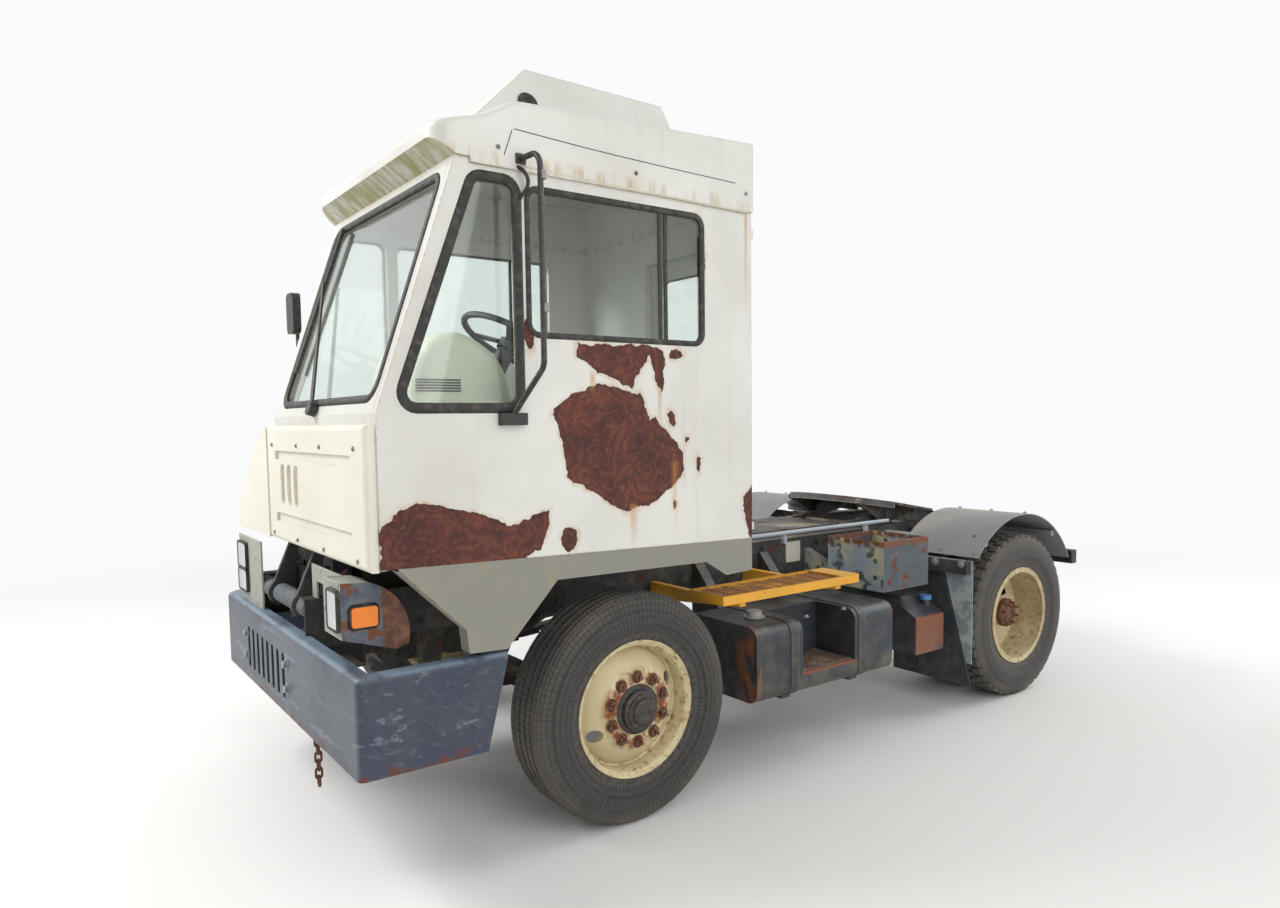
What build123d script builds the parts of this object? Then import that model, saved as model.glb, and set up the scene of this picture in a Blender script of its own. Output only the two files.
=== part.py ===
from build123d import *
from math import cos, radians, sin
import os

os.makedirs("parts", exist_ok=True)

# Terminal tractor with a one-man cab set to the left, twin rear wheels and a lifting fifth wheel.
# +X is forward, +Y is the driver's left, +Z is up. The origin is on the ground, midway
# between the bumper's face and the tail, on the chassis centre line.

# Driving dimensions
wheelbase = 2946
front_overhang = 1235
rear_overhang = 680
overall_length = front_overhang + wheelbase + rear_overhang
front_face_x = overall_length / 2
front_axle_x = front_face_x - front_overhang
rear_axle_x = front_axle_x - wheelbase
rear_end_x = -overall_length / 2

tyre_radius = 506
tyre_width = 279
tread_width = 226
axle_z = tyre_radius
front_wheel_y = 1008
dual_spacing = 334
rear_outer_wheel_y = 1056
rear_inner_wheel_y = rear_outer_wheel_y - dual_spacing
sit_gap = 0.3
run_gap = 0.5
run_clear = 10


def ahead(distance):
    """X of a place given by its distance ahead of the front axle."""
    return front_axle_x + distance


def behind(distance):
    """X of a place given by its distance ahead of the rear axle."""
    return rear_axle_x + distance


def write(node, name):
    """Labels a finished piece and writes its STEP file."""
    node.part.label = name
    export_step(node.part, f"parts/{name}.step")


def side_plane(y):
    """Upright plane at a distance left of the centre line; it takes (x, z) pairs and extrudes to the right."""
    return Plane.XZ.offset(-y)


# Heights and depth of the bumper that the rails stand on
bumper_top = 882
bumper_bottom = 518
bumper_flange = 62

# Frame rails: two pressed channels with their flanges turned inwards
rail_top = 1035
rail_depth = 208
rail_bottom = rail_top - rail_depth
rail_outer_y = 432
rail_flange = 75
rail_web = 8
rail_inner_y = rail_outer_y - rail_web
rail_front_x = ahead(1190)
lamp_depth = 14
tail_thickness = 12
tail_x = rear_end_x + lamp_depth
rail_rear_x = tail_x + tail_thickness
rail_length = rail_front_x - rail_rear_x

with BuildPart() as frame_rails:
    with BuildSketch(Plane.YZ.offset(rail_rear_x)):
        with Locations((rail_outer_y, rail_bottom)):
            Rectangle(rail_flange, rail_depth, align=(Align.MAX, Align.MIN))
        with Locations((rail_inner_y, rail_bottom + rail_web)):
            Rectangle(rail_flange - rail_web, rail_depth - 2 * rail_web,
                      align=(Align.MAX, Align.MIN), mode=Mode.SUBTRACT)
    extrude(amount=rail_length)
    with BuildSketch(Plane.XY.offset(rail_bottom)):
        with Locations((front_face_x - bumper_flange, 0)):
            Rectangle(bumper_flange, rail_outer_y + 1, align=(Align.MIN, Align.MIN))
    extrude(amount=bumper_top - rail_bottom, mode=Mode.SUBTRACT)
    mirror(about=Plane.XZ)
write(frame_rails, "frame_rails")

# Crossmembers: channels between the rails, the tubes that the cab and the boom turn on, and the
# shaft that the lift cylinders stand on, between two cheeks below the rails
pivot_tube_x = ahead(1150)
pivot_tube_z = 985
pivot_tube_r = 32
boom_pivot_x = behind(1660)
boom_pivot_z = 955
boom_shaft_r = 30
lift_base_x = behind(1180)
lift_base_z = 762
lift_base_r = 22
lift_cheek_plate = 16
lift_cheek_half = 60
lift_cheek_round = 34
member_width = 90
member_wall = 10
# Each row: name of the place, x of its middle, z of its underside, height
members = [
    ("under radiator", ahead(985), 712, 115),
    ("behind gearbox", ahead(-760), 905, 110),
    ("over axle", behind(170), 838, 110),
    ("behind axle", behind(-400), 842, 120),
]

with BuildPart() as crossmembers:
    for place, member_x, member_z, member_height in members:
        with BuildSketch(Plane.XZ.offset(-rail_inner_y)):
            with Locations((member_x, member_z)):
                Rectangle(member_width, member_height, align=(Align.CENTER, Align.MIN))
            with Locations((member_x + member_wall, member_z + member_wall)):
                Rectangle(member_width, member_height - 2 * member_wall,
                          align=(Align.CENTER, Align.MIN), mode=Mode.SUBTRACT)
        extrude(amount=2 * rail_inner_y)
    for tube_x, tube_z, tube_r in [(pivot_tube_x, pivot_tube_z, pivot_tube_r),
                                   (boom_pivot_x, boom_pivot_z, boom_shaft_r),
                                   (lift_base_x, lift_base_z, lift_base_r)]:
        with BuildSketch(side_plane(rail_inner_y)):
            with Locations((tube_x, tube_z)):
                Circle(tube_r)
        extrude(amount=2 * rail_inner_y)
    for start_y in (rail_inner_y, -rail_inner_y + lift_cheek_plate):
        with BuildSketch(side_plane(start_y)):
            Polygon((lift_base_x - lift_cheek_half, rail_bottom), (lift_base_x + lift_cheek_half, rail_bottom),
                    (lift_base_x + lift_cheek_round, lift_base_z - lift_cheek_round),
                    (lift_base_x - lift_cheek_round, lift_base_z - lift_cheek_round), align=None)
        extrude(amount=lift_cheek_plate)
write(crossmembers, "crossmembers")

# Tail: closing channel, with the lamp arms that reach out behind the tyres
tail_arm_z = 812
tail_arm_height = 88
tail_arm_y = 1185
tail_arm_depth = 60
with BuildPart() as tail_bar:
    with BuildSketch(Plane.YZ.offset(tail_x)):
        with Locations((0, rail_bottom)):
            Rectangle(2 * rail_outer_y, rail_depth, align=(Align.CENTER, Align.MIN))
    extrude(amount=tail_thickness)
    arm_length = tail_arm_y - rail_outer_y
    for side in (1, -1):
        with BuildSketch(Plane.YZ.offset(tail_x)):
            with Locations((side * (rail_outer_y + arm_length / 2), tail_arm_z)):
                Rectangle(arm_length, tail_arm_height)
        extrude(amount=tail_arm_depth)
        with BuildSketch(Plane.YZ.offset(tail_x + tail_thickness)):
            with Locations((side * (rail_outer_y + arm_length / 2), tail_arm_z)):
                Rectangle(arm_length - 2 * tail_thickness, tail_arm_height - 2 * tail_thickness)
        extrude(amount=tail_arm_depth, mode=Mode.SUBTRACT)
    with Locations((tail_x, 0, tail_arm_z)):
        Box(tail_thickness, 2 * rail_outer_y, tail_arm_height,
            align=(Align.MIN, Align.CENTER, Align.CENTER))
write(tail_bar, "tail_bar")

# Front bumper: folded plate with a rolled top edge, square at the left, cut back at the right
bumper_side_y = 1190
bumper_cut_y = -844
bumper_side_end_top = ahead(650)
bumper_side_end_bottom = ahead(745)
bumper_plate = 12
bumper_roll_r = 26
bumper_cut = bumper_side_y + bumper_cut_y
slot_count = 8
slot_pitch = 89
slot_width = 44
slot_height = 203
slot_middle_y = -80
slot_middle_z = 681
chain_x = ahead(1198)
chain_y = 575
eye_z = 540
eye_hole_r = 9
eye_half = 19
eye_thickness = 8

bumper_outline = [
    (bumper_side_end_top, bumper_side_y),
    (front_face_x, bumper_side_y),
    (front_face_x, bumper_cut_y),
    (front_face_x - bumper_cut, -bumper_side_y),
    (bumper_side_end_top, -bumper_side_y),
]


def inset_outline(distance):
    """The bumper's outline seen from above, moved inwards by a distance."""
    slant = distance * (2 ** 0.5 - 1)
    return [
        (bumper_side_end_top, bumper_side_y - distance),
        (front_face_x - distance, bumper_side_y - distance),
        (front_face_x - distance, bumper_cut_y + slant),
        (front_face_x - bumper_cut - slant, -bumper_side_y + distance),
        (bumper_side_end_top, -bumper_side_y + distance),
    ]


with BuildPart() as front_bumper:
    with BuildSketch(Plane.XY.offset(bumper_bottom)):
        Polygon(*bumper_outline, *reversed(inset_outline(bumper_plate)), align=None)
    extrude(amount=bumper_top - bumper_bottom)
    with BuildSketch(Plane.XY.offset(bumper_top - bumper_plate)):
        Polygon(*bumper_outline, *reversed(inset_outline(bumper_flange)), align=None)
    extrude(amount=bumper_plate)
    top_edges = front_bumper.edges().group_by(Axis.Z)[-1]
    rim_edges = [e for e in top_edges
                 if any(abs(e.center().X - x) < 1 and abs(e.center().Y - y) < 1 for x, y in
                        [((a[0] + b[0]) / 2, (a[1] + b[1]) / 2)
                         for a, b in zip(bumper_outline, bumper_outline[1:])])]
    corner_edges = [e for e in front_bumper.edges().filter_by(Axis.Z)
                    if any(abs(e.center().X - x) < 1 and abs(e.center().Y - y) < 1
                           for x, y in bumper_outline[1:4])]
    fillet(rim_edges + corner_edges, radius=bumper_roll_r)
    with BuildSketch(side_plane(bumper_side_y + 1)):
        Polygon((bumper_side_end_top, bumper_top), (bumper_side_end_bottom, bumper_bottom),
                (bumper_side_end_bottom, bumper_bottom - 1),
                (bumper_side_end_top - 1, bumper_bottom - 1),
                (bumper_side_end_top - 1, bumper_top), align=None)
    extrude(amount=2 * bumper_side_y + 2, mode=Mode.SUBTRACT)
    with BuildSketch(Plane.YZ.offset(front_face_x - bumper_plate - 1)):
        with Locations((slot_middle_y, slot_middle_z)):
            with GridLocations(slot_pitch, 0, slot_count, 1):
                SlotOverall(slot_height, slot_width, rotation=90)
    extrude(amount=bumper_plate + 2, mode=Mode.SUBTRACT)
    with BuildSketch(side_plane(chain_y + eye_thickness / 2)):
        with Locations((chain_x - eye_half, eye_z - eye_half)):
            Rectangle(front_face_x - bumper_plate / 2 - chain_x + eye_half, 2 * eye_half,
                      align=(Align.MIN, Align.MIN))
        with Locations((chain_x, eye_z)):
            Circle(eye_hole_r, mode=Mode.SUBTRACT)
    extrude(amount=eye_thickness)
write(front_bumper, "front_bumper")

# Tow chain: welded links of round bar, each hung in the one above, from the eye in the bumper
link_bar_r = 5
link_bend_r = 12
link_half_straight = 10
link_gap = 1
link_count = 7
link_half = link_half_straight + link_bend_r
link_pitch = 2 * link_half - 2 * link_bar_r - link_gap
link_top_z = eye_z - eye_hole_r + link_bar_r + 2 * link_gap
with BuildPart() as tow_chain:
    for link in range(link_count):
        link_z = link_top_z - link_half - link * link_pitch
        across = (0, 1, 0) if link % 2 == 0 else (1, 0, 0)
        facing = (1, 0, 0) if link % 2 == 0 else (0, -1, 0)
        middle = Plane(origin=(chain_x, chain_y, link_z), x_dir=across, z_dir=(0, 0, 1))
        with BuildSketch(middle.offset(-link_half_straight)):
            with Locations((link_bend_r, 0), (-link_bend_r, 0)):
                RegularPolygon(link_bar_r, 6)
        extrude(amount=2 * link_half_straight)
        for end in (1, -1):
            with BuildSketch(middle.offset(end * link_half_straight)):
                with Locations((link_bend_r, 0)):
                    RegularPolygon(link_bar_r, 6)
            bend_axis = Axis((chain_x, chain_y, link_z + end * link_half_straight), facing)
            revolve(axis=bend_axis, revolution_arc=180 * end)
write(tow_chain, "tow_chain")

# Cab outline seen from the side, as distances ahead of the front axle and heights
cab_left_y = 1180
cab_right_y = -165
cab_wall = 35
cab_floor_bottom = 1237
cab_floor_thickness = 40
cab_floor_top = cab_floor_bottom + cab_floor_thickness
cab_front_x = ahead(1131)
cab_rear_x = ahead(-630)
cab_sill_front_z = 1247
cab_sill_rear_z = 1204
screen_foot_z = 1790
screen_head_x = ahead(815)
cab_head_z = 2705
cab_inner_left_y = cab_left_y - cab_wall
cab_inner_right_y = cab_right_y + cab_wall

# Front axle: forged beam dropped between its kingpin eyes, with two leaf springs on it
kingpin_y = 905
kingpin_r = 24
kingpin_eye_r = 50
beam_eye_height = 110
beam_drop = 75
beam_height = 90
beam_depth = 84
spring_y = 394
spring_half_length = 640
spring_width = 76
leaf_thickness = 14
leaf_count = 4
spring_camber = 46
spring_eye_r = 26
spring_seat_z = axle_z - beam_drop + beam_height / 2
hanger_width = 70
hanger_foot = 60

with BuildPart() as front_axle_beam:
    with BuildSketch(Plane.YZ.offset(front_axle_x - beam_depth / 2)):
        eye_y = kingpin_y - kingpin_eye_r * 0.7
        half = beam_height / 2
        low = axle_z - beam_drop
        Polygon(*[(-eye_y, axle_z - half), (-eye_y, axle_z + half), (-640, axle_z + half * 0.6),
                  (-500, low + half), (500, low + half), (640, axle_z + half * 0.6),
                  (eye_y, axle_z + half), (eye_y, axle_z - half), (660, axle_z - half * 1.4),
                  (520, low - half), (-520, low - half), (-660, axle_z - half * 1.4)], align=None)
    extrude(amount=beam_depth)
    with Locations((front_axle_x, kingpin_y, axle_z), (front_axle_x, -kingpin_y, axle_z)):
        Cylinder(kingpin_eye_r, beam_eye_height)
        Cylinder(kingpin_r + run_gap, beam_eye_height + 2, mode=Mode.SUBTRACT)
write(front_axle_beam, "front_axle_beam")

with BuildPart() as front_springs:
    for leaf in range(leaf_count):
        leaf_half = spring_half_length * (1 - leaf / (leaf_count + 0.6))
        leaf_z = spring_seat_z + (leaf_count - 1 - leaf) * leaf_thickness
        camber = spring_camber * (leaf_half / spring_half_length) ** 2
        with BuildSketch(side_plane(spring_y + spring_width / 2)):
            with BuildLine():
                lower = ThreePointArc((front_axle_x - leaf_half, leaf_z + camber), (front_axle_x, leaf_z),
                                      (front_axle_x + leaf_half, leaf_z + camber))
                upper = ThreePointArc((front_axle_x - leaf_half, leaf_z + leaf_thickness + camber),
                                      (front_axle_x, leaf_z + leaf_thickness),
                                      (front_axle_x + leaf_half, leaf_z + leaf_thickness + camber))
                Line(lower @ 0, upper @ 0)
                Line(lower @ 1, upper @ 1)
            make_face()
        extrude(amount=spring_width)
    spring_eye_z = spring_seat_z + (leaf_count - 0.5) * leaf_thickness + spring_camber
    for eye_x in (front_axle_x - spring_half_length, front_axle_x + spring_half_length):
        with BuildSketch(side_plane(spring_y + spring_width / 2)):
            with Locations((eye_x, spring_eye_z)):
                Circle(spring_eye_r)
        extrude(amount=spring_width)
        with BuildSketch(side_plane(spring_y + hanger_width / 2)):
            Polygon((eye_x - spring_eye_r, spring_eye_z), (eye_x + spring_eye_r, spring_eye_z),
                    (eye_x + hanger_foot, rail_bottom), (eye_x - hanger_foot, rail_bottom), align=None)
        extrude(amount=hanger_width)
    mirror(about=Plane.XZ)
write(front_springs, "front_springs")

# Knuckles: yoke round the kingpin, with the spindle and the steering arm
yoke_gap = beam_eye_height + 2 * run_gap
yoke_arm = 34
yoke_width = 92
spindle_r = 42
spindle_end_y = 985
arm_back = 165
arm_inset = 18
arm_z = axle_z - yoke_gap / 2 - yoke_arm
arm_thickness = 26
ball_r = 20
tie_rod_r = 19


def knuckle(side):
    """One knuckle; side is 1 at the left and -1 at the right."""
    with BuildPart() as piece:
        with Locations((front_axle_x, side * kingpin_y, axle_z + yoke_gap / 2 + yoke_arm / 2),
                       (front_axle_x, side * kingpin_y, axle_z - yoke_gap / 2 - yoke_arm / 2)):
            Cylinder(yoke_width / 2, yoke_arm)
        with Locations((front_axle_x, side * kingpin_y, axle_z)):
            Cylinder(kingpin_r, yoke_gap + 2 * yoke_arm)
        back_y = kingpin_y + kingpin_eye_r + 4
        with Locations((front_axle_x, side * (back_y + 9), axle_z)):
            Box(yoke_width, 18, yoke_gap + 2 * yoke_arm)
        for level in (1, -1):
            with Locations((front_axle_x, side * (kingpin_y + back_y) / 2,
                            axle_z + level * (yoke_gap + yoke_arm) / 2)):
                Box(yoke_width, back_y - kingpin_y, yoke_arm)
        with BuildSketch(Plane.XZ.offset(-side * back_y)):
            with Locations((front_axle_x, axle_z)):
                Circle(spindle_r)
        extrude(amount=-side * (spindle_end_y - back_y))
        with BuildSketch(Plane.XY.offset(arm_z - arm_thickness)):
            Polygon((front_axle_x - 20, side * (kingpin_y + 36)),
                    (front_axle_x - 20, side * (kingpin_y - 36)),
                    (front_axle_x - arm_back, side * (kingpin_y - arm_inset - 22)),
                    (front_axle_x - arm_back, side * (kingpin_y - arm_inset + 22)), align=None)
            with Locations((front_axle_x - arm_back, side * (kingpin_y - arm_inset))):
                Circle(24)
        extrude(amount=arm_thickness)
    return piece


knuckle_left = knuckle(1)
write(knuckle_left, "knuckle_left")
knuckle_right = knuckle(-1)
write(knuckle_right, "knuckle_right")

tie_rod_y = kingpin_y - arm_inset
tie_rod_z = arm_z - arm_thickness - run_gap - ball_r
with BuildPart() as tie_rod:
    with BuildSketch(Plane.XZ.offset(-tie_rod_y)):
        with Locations((front_axle_x - arm_back, tie_rod_z)):
            Circle(tie_rod_r)
    extrude(amount=2 * tie_rod_y)
    with Locations((front_axle_x - arm_back, tie_rod_y, tie_rod_z),
                   (front_axle_x - arm_back, -tie_rod_y, tie_rod_z)):
        Cylinder(26, 2 * ball_r)
write(tie_rod, "tie_rod")

# Tyres: outer band, shoulders, walls and bore, the same on every wheel
rim_r = 286
rim_flange_r = 301
bead_width = 214
shoulder_drop = 16
tyre_widest_r = 408
flange_flare = (tyre_width - bead_width) / 2 * (rim_flange_r - rim_r) / (tyre_widest_r - rim_r)


def tyre_section(middle):
    """Half plane outline of a tyre as (radius, y) pairs round its middle."""
    return [(rim_r + sit_gap, middle - bead_width / 2), (tyre_widest_r, middle - tyre_width / 2),
            (tyre_radius - shoulder_drop, middle - tread_width / 2 - 8),
            (tyre_radius, middle - tread_width / 2 + 14),
            (tyre_radius, middle + tread_width / 2 - 14),
            (tyre_radius - shoulder_drop, middle + tread_width / 2 + 8),
            (tyre_widest_r, middle + tyre_width / 2), (rim_r + sit_gap, middle + bead_width / 2)]


def turned(axle_x, sections):
    """Solids turned about a wheel axis from outlines of (radius, y) pairs."""
    plane = Plane(origin=(axle_x, 0, axle_z), x_dir=(0, 0, 1), z_dir=(-1, 0, 0))
    with BuildPart() as piece:
        for section in sections:
            with BuildSketch(plane):
                Polygon(*section, align=None)
            revolve(axis=Axis((axle_x, 0, axle_z), (0, 1, 0)))
    return piece


# Front wheels: steel disc bulging outwards, with the hub, the nuts and two hand holes
rim_inner_r = 270
rim_width = 236
front_disc_out = 112
disc_thickness = 12
disc_flat_r = 168
hub_r = 74
hub_out = 62
nut_count = 10
nut_circle_r = 143
nut_r = 19
nut_height = 26
hand_hole_r = 30
hand_hole_circle_r = 216
hand_hole_count = 2


def front_wheel(side):
    """Rim, disc and hub of one front wheel."""
    mid = front_wheel_y
    bead = bead_width / 2 + sit_gap
    face = mid + front_disc_out
    back = spindle_end_y + run_gap
    section = [
        (spindle_r + 16, back), (hub_r + 40, back), (hub_r + 40, face - disc_thickness),
        (disc_flat_r, face - disc_thickness), (rim_inner_r, mid + 20),
        (rim_inner_r, mid - rim_width / 2), (rim_flange_r, mid - rim_width / 2),
        (rim_flange_r, mid - bead - flange_flare), (rim_r, mid - bead),
        (rim_r, mid + bead), (rim_flange_r, mid + bead + flange_flare),
        (rim_flange_r, mid + rim_width / 2), (rim_inner_r, mid + rim_width / 2),
        (rim_inner_r, mid + 36), (disc_flat_r, face), (hub_r, face), (hub_r, face + hub_out),
        (0, face + hub_out), (0, back), (spindle_r + 16, back)]
    section = [(r, side * y) for r, y in section[:-1]]
    piece = turned(front_axle_x, [section])
    return finish_wheel(piece, front_axle_x, side, side * face, side * nut_height,
                        side * (mid + 20), side * (face + 4))


def finish_wheel(piece, axle_x, side, face_y, nut_rise, hole_from_y, hole_to_y):
    """Adds the ring of nuts to a wheel and cuts its hand holes."""
    face_plane = Plane(origin=(axle_x, face_y, axle_z), x_dir=(1, 0, 0), z_dir=(0, 1, 0))
    hole_plane = Plane(origin=(axle_x, hole_from_y, axle_z), x_dir=(1, 0, 0), z_dir=(0, 1, 0))
    with BuildPart() as done:
        add(piece.part)
        with BuildSketch(face_plane):
            with PolarLocations(nut_circle_r, nut_count, start_angle=18):
                RegularPolygon(nut_r, 6)
        extrude(amount=nut_rise)
        with BuildSketch(hole_plane):
            with PolarLocations(hand_hole_circle_r, hand_hole_count, start_angle=25):
                Circle(hand_hole_r)
        extrude(amount=hole_to_y - hole_from_y, mode=Mode.SUBTRACT)
    return done


# Rear wheels: two rims back to back, so the outer disc lies deep, round one long hub
dual_disc_y = (rear_outer_wheel_y + rear_inner_wheel_y) / 2
rear_hub_r = 88
rear_hub_end_y = rear_outer_wheel_y + 40
rear_hub_start_y = rear_inner_wheel_y - 60
flange_hub_r = 120


def rear_rims(side):
    """The two rims, the hub and the axle end of one side."""
    def rim(mid, disc_from, disc_to):
        edge = rim_width / 2
        bead = bead_width / 2 + sit_gap
        return [
            (flange_hub_r, disc_from), (disc_flat_r, disc_from), (rim_inner_r, (disc_from + mid) / 2),
            (rim_inner_r, mid - edge), (rim_flange_r, mid - edge),
            (rim_flange_r, mid - bead - flange_flare), (rim_r, mid - bead),
            (rim_r, mid + bead), (rim_flange_r, mid + bead + flange_flare),
            (rim_flange_r, mid + edge), (rim_inner_r, mid + edge),
            (rim_inner_r, (disc_to + mid) / 2), (disc_flat_r, disc_to), (flange_hub_r, disc_to)]
    outer = rim(rear_outer_wheel_y, dual_disc_y, dual_disc_y + disc_thickness)
    inner = rim(rear_inner_wheel_y, dual_disc_y - disc_thickness, dual_disc_y)
    hub = [(0, rear_hub_start_y), (flange_hub_r, rear_hub_start_y),
           (flange_hub_r, dual_disc_y + disc_thickness), (rear_hub_r, dual_disc_y + 40),
           (rear_hub_r, rear_hub_end_y - 8), (rear_hub_r - 14, rear_hub_end_y), (0, rear_hub_end_y)]
    sections = [[(r, side * y) for r, y in section] for section in (outer, inner, hub)]
    piece = turned(rear_axle_x, sections)
    return finish_wheel(piece, rear_axle_x, side, side * (dual_disc_y + disc_thickness),
                        side * nut_height, side * (dual_disc_y - 60), side * (dual_disc_y + 60))


for side, place in ((1, "left"), (-1, "right")):
    front_tyre = turned(front_axle_x, [tyre_section(side * front_wheel_y)])
    write(front_tyre, f"front_tyre_{place}")
    front_rim = front_wheel(side)
    write(front_rim, f"front_wheel_{place}")
    rear_tyres = turned(rear_axle_x, [tyre_section(side * rear_outer_wheel_y),
                                      tyre_section(side * rear_inner_wheel_y)])
    write(rear_tyres, f"rear_tyres_{place}")
    rear_rim = rear_rims(side)
    write(rear_rim, f"rear_rims_{place}")

# Engine: one plain block between the rails, standing on a bracket at each side
engine_front_x = ahead(900)
engine_rear_x = ahead(40)
engine_half_width = 300
engine_bottom = 640
engine_top = 1190
engine_foot_x = ahead(420)
engine_foot_length = 150
engine_foot_z = 905
engine_foot_height = 80
with BuildPart() as engine_block:
    with BuildSketch(side_plane(engine_half_width)):
        Polygon((engine_rear_x, engine_bottom + 90), (engine_front_x, engine_bottom + 90),
                (engine_front_x, engine_top), (engine_rear_x, engine_top), align=None)
    extrude(amount=2 * engine_half_width)
    with BuildSketch(side_plane(engine_half_width * 0.6)):
        Polygon((engine_rear_x + 60, engine_bottom), (engine_front_x - 120, engine_bottom),
                (engine_front_x - 60, engine_bottom + 90), (engine_rear_x + 20, engine_bottom + 90),
                align=None)
    extrude(amount=1.2 * engine_half_width)
    with Locations((engine_foot_x, 0, engine_foot_z)):
        Box(engine_foot_length, 2 * rail_inner_y, engine_foot_height,
            align=(Align.CENTER, Align.CENTER, Align.MIN))
write(engine_block, "engine_block")

# Driveline: bell housing and gearbox behind the engine, then the shaft down to the axle
gear_axis_z = 850
gearbox_end_x = ahead(-520)
pinion_x = behind(330)
pinion_z = axle_z + 54
shaft_r = 45
with BuildPart() as driveline:
    with BuildSketch(side_plane(0)):
        Polygon((engine_rear_x, gear_axis_z), (engine_rear_x, gear_axis_z + 225),
                (engine_rear_x - 90, gear_axis_z + 215), (engine_rear_x - 200, gear_axis_z + 165),
                (gearbox_end_x + 90, gear_axis_z + 150), (gearbox_end_x + 70, gear_axis_z + 95),
                (gearbox_end_x, gear_axis_z + 80), (gearbox_end_x, gear_axis_z), align=None)
    revolve(axis=Axis((engine_rear_x, 0, gear_axis_z), (1, 0, 0)))
    shaft_run = Vector(pinion_x - gearbox_end_x, 0, pinion_z - gear_axis_z)
    with BuildSketch(Plane(origin=(gearbox_end_x, 0, gear_axis_z), z_dir=shaft_run)):
        Circle(shaft_r)
    extrude(amount=shaft_run.length - shaft_r * abs(shaft_run.Z / shaft_run.X) - sit_gap)
write(driveline, "driveline")

# Rear axle: housing with a round bowl, a nose for the pinion and two saddles under the rails
housing_r = 74
bowl_r = 205
bowl_width = 190
nose_r = 95
saddle_length = 190
saddle_width = 74
with BuildPart() as rear_axle_housing:
    with BuildSketch(side_plane(rear_hub_start_y - run_gap)):
        with Locations((rear_axle_x, axle_z)):
            Circle(housing_r)
    extrude(amount=2 * (rear_hub_start_y - run_gap))
    with BuildSketch(side_plane(bowl_width / 2)):
        with Locations((rear_axle_x, axle_z)):
            Circle(bowl_r)
    extrude(amount=bowl_width)
    with BuildSketch(Plane.YZ.offset(pinion_x)):
        with Locations((0, pinion_z)):
            Circle(nose_r)
    with BuildSketch(Plane.YZ.offset(rear_axle_x + 100)):
        with Locations((0, axle_z + 20)):
            Circle(nose_r * 1.7)
    loft()
    with BuildSketch(side_plane(spring_y + saddle_width / 2)):
        Polygon((rear_axle_x - saddle_length / 2, axle_z), (rear_axle_x + saddle_length / 2, axle_z),
                (rear_axle_x + saddle_length * 0.8, rail_bottom),
                (rear_axle_x - saddle_length * 0.8, rail_bottom), align=None)
    extrude(amount=saddle_width)
    with BuildSketch(side_plane(-spring_y + saddle_width / 2)):
        Polygon((rear_axle_x - saddle_length / 2, axle_z), (rear_axle_x + saddle_length / 2, axle_z),
                (rear_axle_x + saddle_length * 0.8, rail_bottom),
                (rear_axle_x - saddle_length * 0.8, rail_bottom), align=None)
    extrude(amount=saddle_width)
write(rear_axle_housing, "rear_axle_housing")

# Radiator: core between two tanks, standing on the front crossmember
radiator_back_x = ahead(955)
radiator_depth = 80
radiator_half_width = 325
radiator_foot_z = members[0][2] + members[0][3]
radiator_top = 1195
radiator_tank = 60
with BuildPart() as radiator:
    with Locations((radiator_back_x, 0, radiator_foot_z)):
        Box(radiator_depth, 2 * radiator_half_width, radiator_top - radiator_foot_z,
            align=(Align.MIN, Align.CENTER, Align.MIN))
    with BuildSketch(Plane.YZ.offset(radiator_back_x + radiator_depth)):
        with Locations((0, (radiator_foot_z + radiator_top) / 2)):
            Rectangle(2 * radiator_half_width - 80,
                      radiator_top - radiator_foot_z - 2 * radiator_tank)
    extrude(amount=-14, mode=Mode.SUBTRACT)
write(radiator, "radiator")

# Fuel tank: rounded box on the left with a step cut into it, held by brackets and straps
tank_front_x = ahead(-660)
tank_rear_x = ahead(-1669)
tank_inner_y = 660
tank_outer_y = 1180
tank_bottom = 395
tank_top = 765
tank_round = 62
recess_front_x = ahead(-972)
recess_rear_x = ahead(-1363)
recess_depth = 275
recess_z = 500
filler_x = ahead(-828)
filler_y = 985
filler_flange_r = 54
filler_flange = 8
filler_cap_r = 38
filler_cap_height = 36
with BuildPart() as fuel_tank:
    with BuildSketch(Plane.YZ.offset(tank_rear_x)):
        with Locations((tank_inner_y, tank_bottom)):
            RectangleRounded(tank_outer_y - tank_inner_y, tank_top - tank_bottom, tank_round,
                             align=(Align.MIN, Align.MIN))
    extrude(amount=tank_front_x - tank_rear_x)
    with Locations((recess_rear_x, tank_outer_y - recess_depth, recess_z)):
        Box(recess_front_x - recess_rear_x, recess_depth + 1, tank_top - recess_z + 1,
            align=(Align.MIN, Align.MIN, Align.MIN), mode=Mode.SUBTRACT)
    with Locations((filler_x, filler_y, tank_top)):
        Cylinder(filler_flange_r, filler_flange, align=(Align.CENTER, Align.CENTER, Align.MIN))
        Cylinder(filler_cap_r, filler_cap_height, align=(Align.CENTER, Align.CENTER, Align.MIN))
write(fuel_tank, "fuel_tank")

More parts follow.
